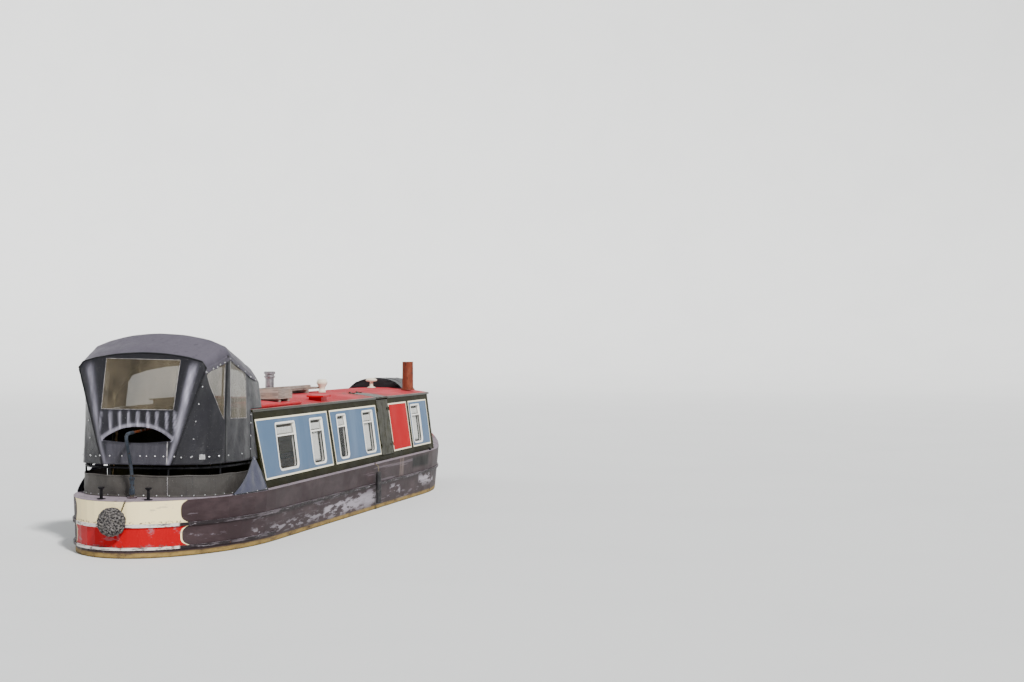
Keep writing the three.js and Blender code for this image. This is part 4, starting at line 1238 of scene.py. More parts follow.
@dataclass
class Dress:
    """The finishes of the CAD pieces whose shape is kept."""

    looks: dict[Look, tuple[str, ...]] = field(
        default_factory=lambda: {
            Look.HULL: ("hull_aft", "hull_middle", "hull_fore"),
            Look.STRAKE: ("rubbing_strake_upper", "rubbing_strake_lower", "gas_locker_lid"),
            Look.UNDERWATER: ("rudder_blade",),
            Look.BRONZE: ("propeller",),
            Look.ENGINE: ("engine_block",),
            Look.TILLER_BLUE: ("tiller_neck",),
            Look.TILLER_STEEL: ("tiller_bar",),
            Look.TUBE: ("hood_frame",),
            Look.BLACK: ("dolly_port", "dolly_starboard", "bow_stud"),
            Look.PANELS: ("cabin_side_port", "cabin_side_starboard"),
            Look.ROOF: ("cabin_roof", "slide_hatch"),
            Look.OLIVE: ("rear_bulkhead", "front_bulkhead", "rear_door_port", "rear_door_starboard",
                         "front_door_port", "front_door_starboard", "side_door_aft", "side_door_fore",
                         "side_hatch_flap"),
            Look.TIN: ("chimney_aft",),
            Look.CHIMNEY: ("chimney_fore",),
            Look.WOOD: ("wooden_trough", "plank_rack", "cratch_board"),
            Look.BRIGHT_RED: ("boat_pole", "roof_hatch_base", "roof_hatch_lid"),
            Look.CREAM: ("flared_vent", "mushroom_vent"),
            Look.RUBBER: ("side_fender",),
        }
    )

    def build(self) -> None:
        """Assign each CAD piece its material."""
        for look, names in self.looks.items():
            for name in names:
                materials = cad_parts[name].data.materials
                for i in range(len(materials)):
                    materials[i] = look.material()
                log.info("%s: %s", name, look.material().name)


@dataclass
class Studio:
    """The floor at the waterline, the light and the camera."""

    eye: tuple[float, float, float] = (-21.455, -7.78, 2.70)
    heading: float = 12.88  # degrees to port of straight ahead
    lens: float = 59.8
    rise: float = 0.003
    water_half: float = 1.0078  # half breadth of the hull at the waterline
    stern_round: float = 1.85  # length of the counter's rounding
    bow: float = 7.9  # where the hull starts to narrow to the stem, from the stern
    stem: float = 10.71  # where it ends at the waterline
    tuck: float = 0.02  # how far the floor reaches under the hull's skin
    reach: float = 60.0
    # Columns: radius and height above the floor of the rim's rings
    rim: tuple[tuple[float, float], ...] = (
        (66, 1.0), (72, 4.0), (77, 10.0), (80, 19.0), (81, 30.0), (81.5, 42.0)
    )

    def floor(self) -> None:
        """Lay the floor round the hull, with its rim turned up far away."""
        half = self.water_half - self.tuck
        outline = []
        for degrees in range(0, 91, 6):
            a = math.radians(degrees)
            outline.append((self.stern_round * (1 - math.cos(a)) + self.tuck, half * math.sin(a)))
        for k in range(1, 11):
            u = k / 10
            outline.append(
                (self.bow + u * (self.stem - self.bow), 0.0 if k == 10 else half * (1 - u**2.1) + 0.018 * u)
            )
        hole = [(STERN + s, -y) for s, y in outline] + [(STERN + s, y) for s, y in outline[-2:0:-1]]
        bm = bmesh.new()
        inner = [bm.verts.new((x, y, WATER)) for x, y in hole]
        turns = [2 * math.pi * k / 48 for k in range(48)]
        outer = [bm.verts.new((self.reach * math.cos(a), self.reach * math.sin(a), WATER)) for a in turns]
        edges = [bm.edges.new((ring[i - 1], ring[i])) for ring in (inner, outer) for i in range(len(ring))]
        bmesh.ops.triangle_fill(bm, use_beauty=True, edges=edges)
        rings = [outer]
        for radius, height in self.rim:
            rings.append(
                [bm.verts.new((radius * math.cos(a), radius * math.sin(a), WATER + height)) for a in turns]
            )
        skin(bm, rings, False)
        bmesh.ops.recalc_face_normals(bm, faces=bm.faces)
        if sum(face.normal.z for face in bm.faces) < 0:
            bmesh.ops.reverse_faces(bm, faces=bm.faces)
        obj = from_bmesh(bm, "studio_floor")
        obj.data.materials.append(Look.FLOOR.material())

    def light(self) -> None:
        """Set a broad key light from the starboard quarter, a low fill and a pale surround."""
        # Columns: name, strength, angle in degrees, direction that it shines in
        lamps = (
            ("key_light", 5.2, 6.0, (0.62, 0.52, -0.66)),
            ("fill_light", 0.5, 60.0, (0.75, -0.35, -0.35)),
        )
        for name, strength, angle, way in lamps:
            bpy.ops.object.light_add(type="SUN", location=(-6, -8, 8))
            lamp = bpy.context.object
            lamp.name = name
            lamp.data.energy = strength
            lamp.data.angle = math.radians(angle)
            lamp.rotation_euler = Vector(way).to_track_quat("-Z", "Y").to_euler()
        world = bpy.data.worlds.new("pale_studio")
        world.use_nodes = True
        world.node_tree.nodes["Background"].inputs["Color"].default_value = linear("#e3e9ef")
        world.node_tree.nodes["Background"].inputs["Strength"].default_value = 0.5
        bpy.context.scene.world = world

    def camera(self) -> None:
        """Set the camera low, astern of the starboard quarter."""
        bpy.ops.object.camera_add(location=self.eye)
        camera = bpy.context.object
        camera.name = "camera"
        heading = math.radians(self.heading)
        look = Vector((math.cos(heading), math.sin(heading), 0.0))
        camera.rotation_euler = look.to_track_quat("-Z", "Y").to_euler()
        camera.data.lens = self.lens
        camera.data.sensor_width = 36.0
        camera.data.shift_y = self.rise
        camera.data.clip_end = 400.0
        bpy.context.scene.camera = camera

    def build(self) -> None:
        """Set up the studio."""
        self.camera()
        self.floor()
        self.light()


@dataclass
class CabinWindows:
    """The cabin's windows: an enamelled frame with a top light, its rubber and the panes."""

    # Columns: aft edge, fore edge, sill and head of the opening, in millimetres
    openings: tuple[tuple[float, float, float, float], ...] = (
        (2300, 2910, 1272, 1793),
        (3450, 3880, 1262, 1794),
        (4450, 4780, 1266, 1801),
        (5490, 5910, 1270, 1806),
        (7760, 8190, 1280, 1812),
    )
    lap: float = 0.016
    proud: float = 0.006
    top_light: float = 0.27  # share of the height above the bar
    ajar: float = 7.0  # lean of the open top light, in degrees

    def plate(self, box: Sequence[float], grow: float, low: float, high: float) -> bpy.types.Object:
        """Model a flat plate with rounded corners in the plane y = 0.

        Args:
            box: aft edge, fore edge, sill and head in metres.
            grow: how far it reaches past the box.
            low: radius of its lower corners before it grows.
            high: radius of its upper corners before it grows.

        Returns:
            The plate.
        """
        a, b, c, d = box[0] - grow, box[1] + grow, box[2] - grow, box[3] + grow
        bpy.ops.object.select_all(action="DESELECT")
        bpy.ops.mesh.primitive_plane_add(
            size=1, location=((a + b) / 2, 0, (c + d) / 2), rotation=(math.pi / 2, 0, 0)
        )
        plate = bpy.context.object
        plate.scale = (b - a, d - c, 1)
        bpy.ops.object.transform_apply()
        with editing():
            for radius, above in ((low + grow, False), (high + grow, True)):
                pick(lambda co, _, above=above: (co.z > (c + d) / 2) == above, "VERT")
                bpy.ops.mesh.bevel(offset=radius, segments=7, affect="VERTICES", offset_type="OFFSET")
        return plate

    def draw_out(self, depths: tuple[float, float]) -> None:
        """Give the outline in edit mode its section, from one depth to the other."""
        bpy.ops.mesh.select_all(action="SELECT")
        bpy.ops.transform.translate(value=(0, depths[0], 0))
        bpy.ops.mesh.extrude_region_move(TRANSFORM_OT_translate={"value": (0, depths[1] - depths[0], 0)})
        bpy.ops.mesh.select_all(action="SELECT")
        bpy.ops.mesh.normals_make_consistent(inside=False)

    def ring(self, box: Sequence[float], grow: float, width: float, depths: tuple[float, float], soft: float,
             low: float = 0.055, high: float = 0.018) -> bpy.types.Object:
        """Model a frame: a plate that is inset, opened and drawn out.

        Args:
            box: aft edge, fore edge, sill and head in metres.
            grow: how far its outer edge reaches past the box.
            width: the width of its section.
            depths: where its section starts and ends, outward from the cabin's face.
            soft: the radius of its edges.
            low: radius of its lower corners before it grows.
            high: radius of its upper corners before it grows.

        Returns:
            The frame.
        """
        ring = self.plate(box, grow, low, high)
        with editing():
            bpy.ops.mesh.inset(thickness=width, depth=0)
            bpy.ops.mesh.delete(type="FACE")
            self.draw_out(depths)
        apply(ring, "BEVEL", width=soft, segments=2, limit_method="ANGLE", angle_limit=math.radians(50))
        return ring

    def pane(
        self, box: Sequence[float], grow: float, depths: tuple[float, float], low: float, high: float
    ) -> bpy.types.Object:
        """Model a pane of glass.

        Args:
            box: aft edge, fore edge, sill and head in metres.
            grow: how far it reaches past the box.
            depths: where its two faces lie, outward from the cabin's face.
            low: radius of its lower corners before it grows.
            high: radius of its upper corners before it grows.

        Returns:
            The pane.
        """
        pane = self.plate(box, grow, low, high)
        with editing():
            self.draw_out(depths)
        return pane

    def on_side(self, obj: bpy.types.Object, side: Side) -> bpy.types.Object:
        """Lean a piece on to one side of the cabin.

        Args:
            obj: the piece, drawn with y outward from the cabin's face.
            side: the side of the boat.

        Returns:
            The piece.
        """
        sign = side.value
        rows = (
            (1, 0, 0, 0),
            (0, sign, -sign * FACE_LEAN, sign * (CABIN_FOOT + FACE_LEAN * DECK)),
            (0, 0, 1, 0),
            (0, 0, 0, 1),
        )
        obj.data.transform(Matrix(rows))
        active(obj)
        with editing():
            bpy.ops.mesh.normals_make_consistent(inside=False)
        bpy.ops.object.shade_smooth_by_angle(angle=math.radians(35))
        return obj

    def copy(self, obj: bpy.types.Object) -> bpy.types.Object:
        """Copy a piece with its own mesh.

        Args:
            obj: the piece.

        Returns:
            The copy.
        """
        twin = obj.copy()
        twin.data = obj.data.copy()
        bpy.context.scene.collection.objects.link(twin)
        return twin

    def build(self) -> None:
        """Model each window once and set it in both sides of the cabin."""
        for i, (aft, fore, sill, head) in enumerate(self.openings, 1):
            box = [STERN + aft / 1000, STERN + fore / 1000, sill / 1000, head / 1000]
            bar = box[3] - self.top_light * (box[3] - box[2])
            top = [box[0] + 0.008, box[1] - 0.008, bar + 0.007, box[3] - 0.009]
            frame_parts = [
                self.ring(box, self.lap, 0.021, (SEAT, self.proud), 0.002),
                self.ring(box, -0.0006, 0.0064, (-0.045, 0.001), 0.0012),
            ]
            bpy.ops.object.select_all(action="DESELECT")
            middle = ((box[0] + box[1]) / 2, -0.011, bar)
            bpy.ops.mesh.primitive_cube_add(
                size=1, location=middle, scale=(box[1] - box[0] - 0.012, 0.022, 0.013)
            )
            bpy.ops.object.transform_apply()
            cross = bpy.context.object
            apply(cross, "BEVEL", width=0.003, segments=2)
            # The top light is a hopper that stands ajar, leaning in from its foot
            hopper = self.ring(top, 0.0, 0.006, (-0.013, -0.005), 0.0015, 0.010, 0.010)
            light = self.pane(top, -0.006, (-0.011, -0.007), 0.010, 0.010)
            for part in (hopper, light):
                lean = Matrix.Translation((0, -0.009, bar)) @ Matrix.Rotation(math.radians(self.ajar), 4, "X")
                part.data.transform(lean @ Matrix.Translation((0, 0.009, -bar)))
            whole = join([*frame_parts, cross, hopper])
            seal = self.ring(
                [box[0], box[1], box[2], bar + 0.004], -0.0092, 0.006, (-0.0235, -0.0105), 0.001, 0.055, 0.008
            )
            low_pane = self.pane(
                [box[0], box[1], box[2], bar + 0.004], -0.012, (-0.020, -0.014), 0.055, 0.008
            )
            glass = join([low_pane, light])
            for side in Side:
                for part, name, look, slot in (
                    (whole, "window_frame", Look.FRAME_WHITE, "cream_paint"),
                    (seal, "window_rubber", Look.RUBBER, "fender_rubber"),
                    (glass, "window_pane", Look.GLASS, "window_glass"),
                ):
                    piece = self.on_side(self.copy(part), side)
                    stands = [f"window_{side.word}_{i}"] if part is whole else []
                    settle(piece, f"{name}_{side.word}_{i}", [look], slot, replaces=stands)
            for part in (whole, seal, glass):
                bpy.data.objects.remove(part)


@dataclass
class NetCurtains:
    """White net and blinds that hang right behind the panes."""

    # Columns: window, aft and fore edge, head and foot, in millimetres
    cloths: tuple[tuple[int, float, float, float, float], ...] = (
        (1, 2320, 2890, 1745, 1668),
        (2, 3468, 3862, 1746, 1668),
        (2, 3475, 3760, 1650, 1290),
        (3, 4468, 4762, 1750, 1672),
        (4, 5508, 5892, 1758, 1680),
        (4, 5515, 5800, 1660, 1300),
        (5, 7778, 8172, 1764, 1686),
        (5, 7785, 8080, 1668, 1308),
    )

    def build(self) -> None:
        """Hang the cloths on both sides."""
        for i, row in enumerate(self.cloths):
            for side in Side:
                self.hang(i, row, side)

    def hang(self, number: int, row: tuple[int, float, float, float, float], side: Side) -> None:
        """Hang one cloth in soft upright folds.

        Args:
            number: the cloth's number.
            row: its row of the table.
            side: the side of the boat.
        """
        window, aft, fore, head, foot = row
        span = fore - aft

        def place(u: float, v: float) -> Vector:
            """Give a point of the cloth.

            Args:
                u: share of the way from aft to fore.
                v: share of the way down.

            Returns:
                The point.
            """
            z = head + (foot - head) * v
            deep = 30.5 + 3.2 * math.sin(u * span / 22 * math.pi / 2 + number) + math.sin(u * 9 + v * 3)
            return at(aft + span * u, side.value * (940 - FACE_LEAN * (z - 1100) - deep), z)

        core = Vector((STERN + aft / 1000, 0, 1.5))
        piece = grid_sheet(f"net_{side.word}_{window}_{number}", place, 56, 10, core, 0.0008)
        settle(piece, piece.name, [Look.NET], "cream_paint")


@dataclass
class PramHood:
    """The hood over the stern deck: a sewn cloth on three hoops, with windows and a slit for the tiller."""

    # Columns: station, half breadth, corner and crown heights
    roof_rows: tuple[tuple[float, ...], ...] = (
        (500, 730, 2466, 2571),
        (640, 730, 2500, 2612),
        (1100, 800, 2650, 2815),
        (1850, 795, 2400, 2560),
        (1960, 790, 2330, 2470),
    )
    # Columns: station and half breadth at the hem; station, half breadth and height at the eave
    wall_rows: tuple[tuple[float, ...], ...] = (
        (505, 390, 640, 722, 2440),
        (625, 600, 824, 758, 2500),
        (700, 700, 925, 773, 2533),
        (900, 790, 1100, 800, 2590),
        (1250, 848, 1475, 798, 2465),
        (1560, 872, 1760, 796, 2370),
        (1960, 885, 1960, 790, 2270),
    )
    hem: float = 1440.0
    rear: float = 500.0  # station of the rear wall's middle
    foot_half: float = 390.0  # half breadth of the rear wall at the hem
    slit_end: float = 0.85  # share of the rear wall's half breadth
    slit_foot: float = 1668.0  # height of the slit's lower edge in the middle
    slit_head: float = 1835.0  # height of its upper edge in the middle
    pleat_pitch: float = 104.0  # from one pleat to the next
    stations: int = 60
    across: int = 56
    rows: int = 44

    def roof(self, s: float, y: float) -> float:
        """Find the roof's height.

        Args:
            s: the station, in millimetres.
            y: the distance from the middle.

        Returns:
            The height in millimetres.
        """
        rows = self.roof_rows
        i = max(0, min(len(rows) - 2, sum(row[0] <= s for row in rows) - 1))
        share = (s - rows[i][0]) / (rows[i + 1][0] - rows[i][0])
        _, half, corner, crown = (a + (b - a) * share for a, b in zip(rows[i], rows[i + 1]))
        rise = crown - corner
        section = (
            (0, crown),
            (half * 0.38, corner + 0.88 * rise),
            (half * 0.72, corner + 0.55 * rise),
            (half * 0.93, corner + 0.12 * rise),
            (half, corner - 60),
            (half + 260, self.hem - 100),
        )
        y = abs(y)
        k = next((k for k in range(5) if y <= section[k + 1][0]), 4)
        (y0, z0), (y1, z1) = section[k], section[k + 1]
        straight = z0 + (z1 - z0) * (y - y0) / (y1 - y0)
        if k >= 3:
            return straight
        crown_curve = crown - rise * (0.86 * (y / half) ** 2 + 0.04 * (y / half) ** 4)
        return 0.35 * straight + 0.65 * crown_curve if k < 2 else 0.7 * straight + 0.3 * crown_curve

    def wall(self, k: float, z: float) -> tuple[float, float]:
        """Return a side wall's station and half breadth.

        Args:
            k: a place along the wall, counted in rows of the table.
            z: a height in millimetres.

        Returns:
            The station and the half breadth, in millimetres.
        """
        bend = 3
        rows = self.wall_rows[: bend + 1] if k <= bend else self.wall_rows[bend:]
        x0, y0, x1, y1, top = catmull(rows, k if k <= bend else k - bend)
        share = (z - self.hem) / (top - self.hem)
        return x0 + share * (x1 - x0), y0 + share * (y1 - y0)

    def on_wall(self, k: float, z: float, sign: int) -> Vector:
        """Return a place on the port wall, sign 1, or the starboard wall, sign -1."""
        s, y = self.wall(k, z)
        return at(s, sign * y, z)

    def eave(self, k: float) -> tuple[float, float, float]:
        """Find where the side wall meets the roof.

        Args:
            k: a place along the wall, counted in rows of the table.

        Returns:
            The station, the half breadth and the height, in millimetres.
        """
        low, high = 2000.0, 2900.0
        for _ in range(30):
            z = (low + high) / 2
            s, y = self.wall(k, z)
            low, high = (z, high) if z < self.roof(s, y) else (low, z)
        return s, y, z

    def folds(self, y: float, z: float) -> float:
        """Shape the rear wall's cloth.

        Args:
            y: the distance from the middle, in millimetres.
            z: the height.

        Returns:
            How far it stands out, in millimetres.
        """
        bulge = 12 * blend_in(z, 1700, 1770) * (1 - blend_in(z, 1850, 2000)) * (
            1 - blend_in(abs(y), 380, 470)
        )
        slack = 5 * noise.noise(Vector((y / 260, z / 480, 3.1))) + 2.5 * noise.noise(
            Vector((y / 90, z / 200, 7.7))
        )
        return 20 * self.pleat(y, z) + bulge + slack

    def pleat(self, y: float, z: float) -> float:
        """Shape the pleats under the rear window.

        Args:
            y: the distance from the middle, in millimetres.
            z: the height.

        Returns:
            Their height, between 0 and 1.
        """
        lean = 0.1 * (z - 1900)
        wander = 12 * noise.noise(Vector((y / 90, z / 300, 0)))
        ridge = max(0.0, math.cos(2 * math.pi * (y - lean + wander) / self.pleat_pitch)) ** 1.6
        zone = blend_in(z, 1770, 1830) * (1 - blend_in(z, 1975, 2013)) * (1 - blend_in(abs(y), 400, 450))
        return ridge * zone * (0.75 + 0.5 * noise.noise(Vector((round(y / self.pleat_pitch), 2.0, 0))))

    def corner_roll(self, share: float, z: float) -> float:
        """Return how far the rear wall rolls out, 0 to 1, at a share of its half breadth and a height."""
        lift = max(0.0, math.sin(math.pi * min(1.0, max(0.0, (share - 0.6) / 0.4))))
        return lift * blend_in(z, 1450, 1700) * (1 - blend_in(z, 2420, 2520))

    def crest(self, share: float, y: float, z: float, lip: float) -> float:
        """Return how much pale tint the rear wall's cloth gets at a place, between 0 and 1: rubbed pleat
        crests and a painted highlight.

        Args:
            share: the share of the wall's half breadth.
            y: the distance from the middle, in millimetres.
            z: the height.
            lip: the height of the slit's upper edge there.

        Returns:
            0 for plain cloth, 1 for a full painted highlight.
        """
        # A painted highlight on each corner roll, stronger higher up and on the starboard side where the
        # light falls, along the slit's upper lip and faintly under the slit; the pleats' crests are rubbed
        # and painted pale
        strength = (0.6 + 0.4 * blend_in(z, 1600, 2300)) * (1.0 if y < 0 else 0.55)
        middle = 0.9 - 0.07 * blend_in(z, 1600, 2400)
        streaks = 0.8 + 0.5 * noise.noise(Vector((y / 30, z / 260, 1.0)))
        roll = strength * streaks * math.exp(-(((share - middle) / 0.05) ** 2)) * (
            1 - blend_in(z, 2380, 2540)
        )
        edge = 0.6 * (1 - blend_in(z, lip + 8, lip + 55)) if z >= lip - 1 and share < self.slit_end else 0.0
        below = 0.08 * (1 - blend_in(z, 1640, 1680)) * (1 - blend_in(abs(y), 330, 350))
        return min(1.0, self.pleat(y, z) ** 1.7 + roll + edge + below)

    def slack(self, k: float, z: float, sign: int) -> float:
        """Shape a side wall's cloth.

        Args:
            k: a place along the wall, counted in rows of the table.
            z: the height in millimetres.
            sign: -1 for starboard, 1 for port.

        Returns:
            How far it stands out, in millimetres.
        """
        s, _ = self.wall(k, z)
        # Long pulls run from the eave's corner down to the hem
        pull = math.sin((s * 0.9 - (z - self.hem) * 0.32) / 34.0 + sign)
        strength = 2.2 * blend_in(z, 1500, 1700) * (1 - blend_in(z, 1900, 2250))
        loose = 5 * noise.noise(Vector((s / 240, z / 500, 11.0 * sign))) + 2 * noise.noise(
            Vector((s / 80, z / 160, sign))
        )
        band = 2.0 * (1 - blend_in(z, 1583, 1589)) if k < 3 else 0.0
        return pull * strength + loose + band

    def cloth(self) -> bpy.types.Object:
        """Make the hood's cloth from its roof, its rear wall and its side walls.

        Returns:
            The cloth, as an open sheet.
        """
        bm = bmesh.new()
        wall_id = bm.faces.layers.int.new("wall")
        crest_wear_and_highlight_id = bm.verts.layers.float.new("crest")
        last = len(self.wall_rows) - 1
        eaves = [self.eave(last * i / self.stations) for i in range(self.stations + 1)]

        def quad(corners: Sequence[bmesh.types.BMVert], number: int) -> None:
            """Add a face unless it has no area."""
            if len(set(corners)) == 4:
                bm.faces.new(corners)[wall_id] = number

        roof = []
        for s, half, _ in eaves:
            line = []
            for j in range(self.across + 1):
                y = half * (2 * j / self.across - 1)
                share = abs(y) / half
                hoop = min(abs(s - place) for place in (785, 1100, 1790))
                sag = -7 * blend_in(hoop, 10, 160) * (1 - share**4) + 3 * noise.noise(
                    Vector((s / 160, y / 220, 5.0))
                )
                line.append(bm.verts.new(at(s, y, self.roof(s, y) + sag * (1 - blend_in(share, 0.9, 1.0)))))
            roof.append(line)
        for i in range(self.stations):
            for j in range(self.across):
                quad((roof[i][j], roof[i + 1][j], roof[i + 1][j + 1], roof[i][j + 1]), 0)

        for sign, column in ((-1, 0), (1, self.across)):
            grid = []
            for i in range(self.stations + 1):
                k = last * i / self.stations
                _, _, top = eaves[i]
                line = []
                for r in range(self.rows):
                    z = self.hem + (top - self.hem) * r / self.rows
                    s, y = self.wall(k, z)
                    near = 1 - blend_in(r / self.rows, 0.93, 1.0)
                    out = self.slack(k, z, sign) * near * blend_in(k, 0.0, 0.15)
                    line.append(bm.verts.new(at(s - 0.3 * out, sign * (y + 0.95 * out), z)))
                grid.append([*line, roof[i][column]])
            for i in range(self.stations):
                for r in range(self.rows):
                    corners = (grid[i][r], grid[i + 1][r], grid[i + 1][r + 1], grid[i][r + 1])
                    quad(corners if sign < 0 else corners[::-1], 2 if sign < 0 else 3)
            self.rear_half(bm, quad, grid[0], roof[0], sign, eaves[0], crest_wear_and_highlight_id)

        bmesh.ops.remove_doubles(bm, verts=bm.verts, dist=0.0004)
        self.clear_cabin(bm)
        self.windows(bm, wall_id)
        return from_bmesh(bm, "pram_hood")

    def rear_half(
        self,
        bm: bmesh.types.BMesh,
        quad: Callable[[Sequence[bmesh.types.BMVert], int], None],
        corner: Sequence[bmesh.types.BMVert],
        arch: Sequence[bmesh.types.BMVert],
        sign: int,
        eave: tuple[float, float, float],
        crest_wear_and_highlight_id: Any,
    ) -> None:
        """Make one half of the rear wall, from the corner's crease to the middle.

        Args:
            bm: the hood's mesh.
            quad: adds a face with its wall's number.
            corner: the vertices of the corner's crease from the hem up.
            arch: the vertices of the roof's rear edge from starboard to port.
            sign: -1 for starboard, 1 for port.
            eave: the crease's upper end.
            crest_wear_and_highlight_id: the layer that holds how much the cloth is rubbed and painted with a
                highlight.
        """
        half = self.across // 2
        low_rows = 12
        grid = []
        for j in range(half + 1):
            f = j / half
            top = arch[half + sign * j].co.z * 1000
            share_f = min(1.0, f / self.slit_end)
            low_lip = self.slit_foot + 32 * share_f**2
            # The tiller bar swings to 171 mm from the middle under the upper lip
            reach = f * (self.foot_half + (eave[1] - self.foot_half) * (1800 - self.hem) / (top - self.hem))
            high_lip = max(low_lip, self.slit_head - 135 * (reach / 400) ** 2.2)
            heights = [self.hem + (low_lip - self.hem) * r / low_rows for r in range(low_rows + 1)]
            upper = self.rows - low_rows
            heights += [high_lip + (top - high_lip) * r / upper for r in range(upper + 1)]
            line = []
            for z in heights[:-1]:
                share = (z - self.hem) / (top - self.hem)
                y = sign * f * (self.foot_half + (eave[1] - self.foot_half) * share)
                s = self.rear + 5 * f * f * (1 - share) + (eave[0] - self.rear) * share
                fade = (1 - blend_in(share, 0.95, 1.0)) * (1 - blend_in(f, 0.92, 1.0))
                roll = 20 * self.corner_roll(f, z)
                vert = bm.verts.new(at(s - self.folds(y, z) * fade - roll, y + sign * 0.45 * roll, z))
                vert[crest_wear_and_highlight_id] = self.crest(f, y, z, high_lip)
                line.append(vert)
            grid.append([*line, arch[half + sign * j]])
        self.weld_crease(grid[half], corner)
        for j in range(half):
            for r in range(len(grid[0]) - 1):
                if r == low_rows and (j + 0.5) / half < self.slit_end:
                    continue
                corners = (grid[j][r], grid[j + 1][r], grid[j + 1][r + 1], grid[j][r + 1])
                quad(corners if sign < 0 else corners[::-1], 1)

    def weld_crease(self, line: Sequence[bmesh.types.BMVert], corner: Sequence[bmesh.types.BMVert]) -> None:
        """Lay the rear wall's outer vertices on the side wall's crease line.

        Args:
            line: the rear wall's outer vertices from the hem up.
            corner: the side wall's vertices there.
        """
        heights = [vert.co.z for vert in corner]
        for vert in line[:-1]:
            i = max(0, min(len(heights) - 2, sum(h <= vert.co.z for h in heights) - 1))
            share = (vert.co.z - heights[i]) / (heights[i + 1] - heights[i])
            vert.co = corner[i].co.lerp(corner[i + 1].co, min(1.0, max(0.0, share)))

    def clear_cabin(self, bm: bmesh.types.BMesh) -> None:
        """Cut the side walls away where the cabin and its roof stand.

        Args:
            bm: the hood's mesh.
        """
        # Columns: a place on the cut, the way that it faces, the height that it reaches up to
        cuts = (
            (at(1712, 0, 1430), Vector((510, 0, 55)), 1.955), (at(1626, 0, 1955), Vector((1, 0, 0)), 1.990)
        )
        for edge, way, top in cuts:
            for place, normal in ((edge, way), (Vector((0, 0, top)), Vector((0, 0, 1)))):
                whole = [*bm.verts, *bm.edges, *bm.faces]
                bmesh.ops.bisect_plane(bm, geom=whole, plane_co=place, plane_no=normal.normalized())
        gone = []
        for face in bm.faces:
            middle = face.calc_center_median()
            low, high = ((middle - edge).dot(way) > 0 for edge, way, _ in cuts)
            if (low and middle.z < 1.955) or (high and 1.955 < middle.z < 1.990):
                gone.append(face)
        bmesh.ops.delete(bm, geom=gone, context="FACES")

    def panes(self) -> list[tuple[int, list[Vector]]]:
        """List the clear windows.

        Returns:
            For each its wall's number and its corners.
        """
        rear = [at(627, 405, 2552), at(627, -438, 2534), at(575, -392, 2012), at(575, 426, 2018)]
        found = [(1, rear)]
        for number, sign in ((2, -1), (3, 1)):
            for marks in (
                ((0.22, 2432), (2.55, 2545), (2.88, 1904)),
                ((3.05, 2535), (4.22, 2400), (4.42, 1896), (3.30, 1908)),
            ):
                corners = [self.on_wall(k, min(z, self.eave(k)[2] - 62), sign) for k, z in marks]
                found.append((number, corners))
        return found

    def windows(self, bm: bmesh.types.BMesh, wall_id: Any) -> None:
        """Cut the clear windows' outlines into the cloth and give the roof its own material, the same cloth
        painted lighter for the sky's light on it.

        Args:
            bm: the hood's mesh.
            wall_id: the layer that holds each face's wall.
        """
        for number, corners in self.panes():
            middle = sum(corners, Vector()) / len(corners)
            facing = (corners[1] - corners[0]).cross(corners[2] - corners[0]).normalized()
            sides = []
            for a, b in zip(corners, [*corners[1:], corners[0]]):
                inward = facing.cross(b - a).normalized()
                if inward.dot(middle - a) < 0:
                    inward = -inward
                sides.append((a, inward))
                reach = (b - a).length / 2 + 0.09
                faces = [
                    f
                    for f in bm.faces
                    if f[wall_id] == number and (f.calc_center_median() - (a + b) / 2).length < reach
                ]
                parts = {v for f in faces for v in f.verts} | {e for f in faces for e in f.edges} | set(faces)
                bmesh.ops.bisect_plane(bm, geom=list(parts), plane_co=a, plane_no=inward)
            for face in bm.faces:
                spot = face.calc_center_median()
                if face[wall_id] == number and all((spot - a).dot(way) > 0 for a, way in sides):
                    face.material_index = 1
        for face in bm.faces:
            if face[wall_id] == 0:
                face.material_index = 2

    def valance(self, ground: Ground, u: float, v: float, sign: int) -> Vector:
        """Return a point of the strip that hangs from the eave.

        Args:
            ground: the hood's cloth.
            u: share of the strip's length.
            v: share of the way down.
            sign: -1 for starboard, 1 for port.

        Returns:
            The point.
        """
        k = 0.02 + (len(self.wall_rows) - 1.6) * u
        height = self.eave(k)[2] - (64 + 4 * math.sin(u * 31)) * v
        place, normal = ground.snapped([self.on_wall(k, height, sign)])[0]
        return place + normal * (0.001 + 0.006 * v)

    def trimmings(self, cloth: bpy.types.Object) -> list[bpy.types.Object]:
        """Sew on the welts, the stitching, the fasteners, the zip and the bare patch.

        Args:
            cloth: the hood's cloth before it gets its thickness.

        Returns:
            The pieces.
        """
        core = at(1300, 0, 2000)
        ground = Ground(cloth, core)

        def tape(points: Sequence[Vector], width: float, height: float) -> bpy.types.Object:
            """Sew a tape on along points, just off the cloth."""
            return ground.tapes([points], width, height, 0.0002)[0]

        def line(start: tuple[float, float], end: tuple[float, float], steps: int, sign: int) -> list[Vector]:
            """Return points along a side wall, between two places given as k and height."""
            shares = [t / steps for t in range(steps + 1)]
            return [self.on_wall(*(a + (b - a) * t for a, b in zip(start, end)), sign) for t in shares]

        stitches = [tape(along([*c, c[0]], 0.02), 0.0045, 0.0012) for _, c in self.panes()]
        made = [settle(join(stitches), "hood_window_stitching", [Look.THREAD], "canvas")]
        rear, half, _ = self.eave(0)
        brow = [at(rear, half * f / 30, self.roof(rear, half * f / 30)) for f in range(-30, 31)]
        welts = [tape(brow, 0.020, 0.006)]
        valances, spots = [], []
        for sign in (-1, 1):
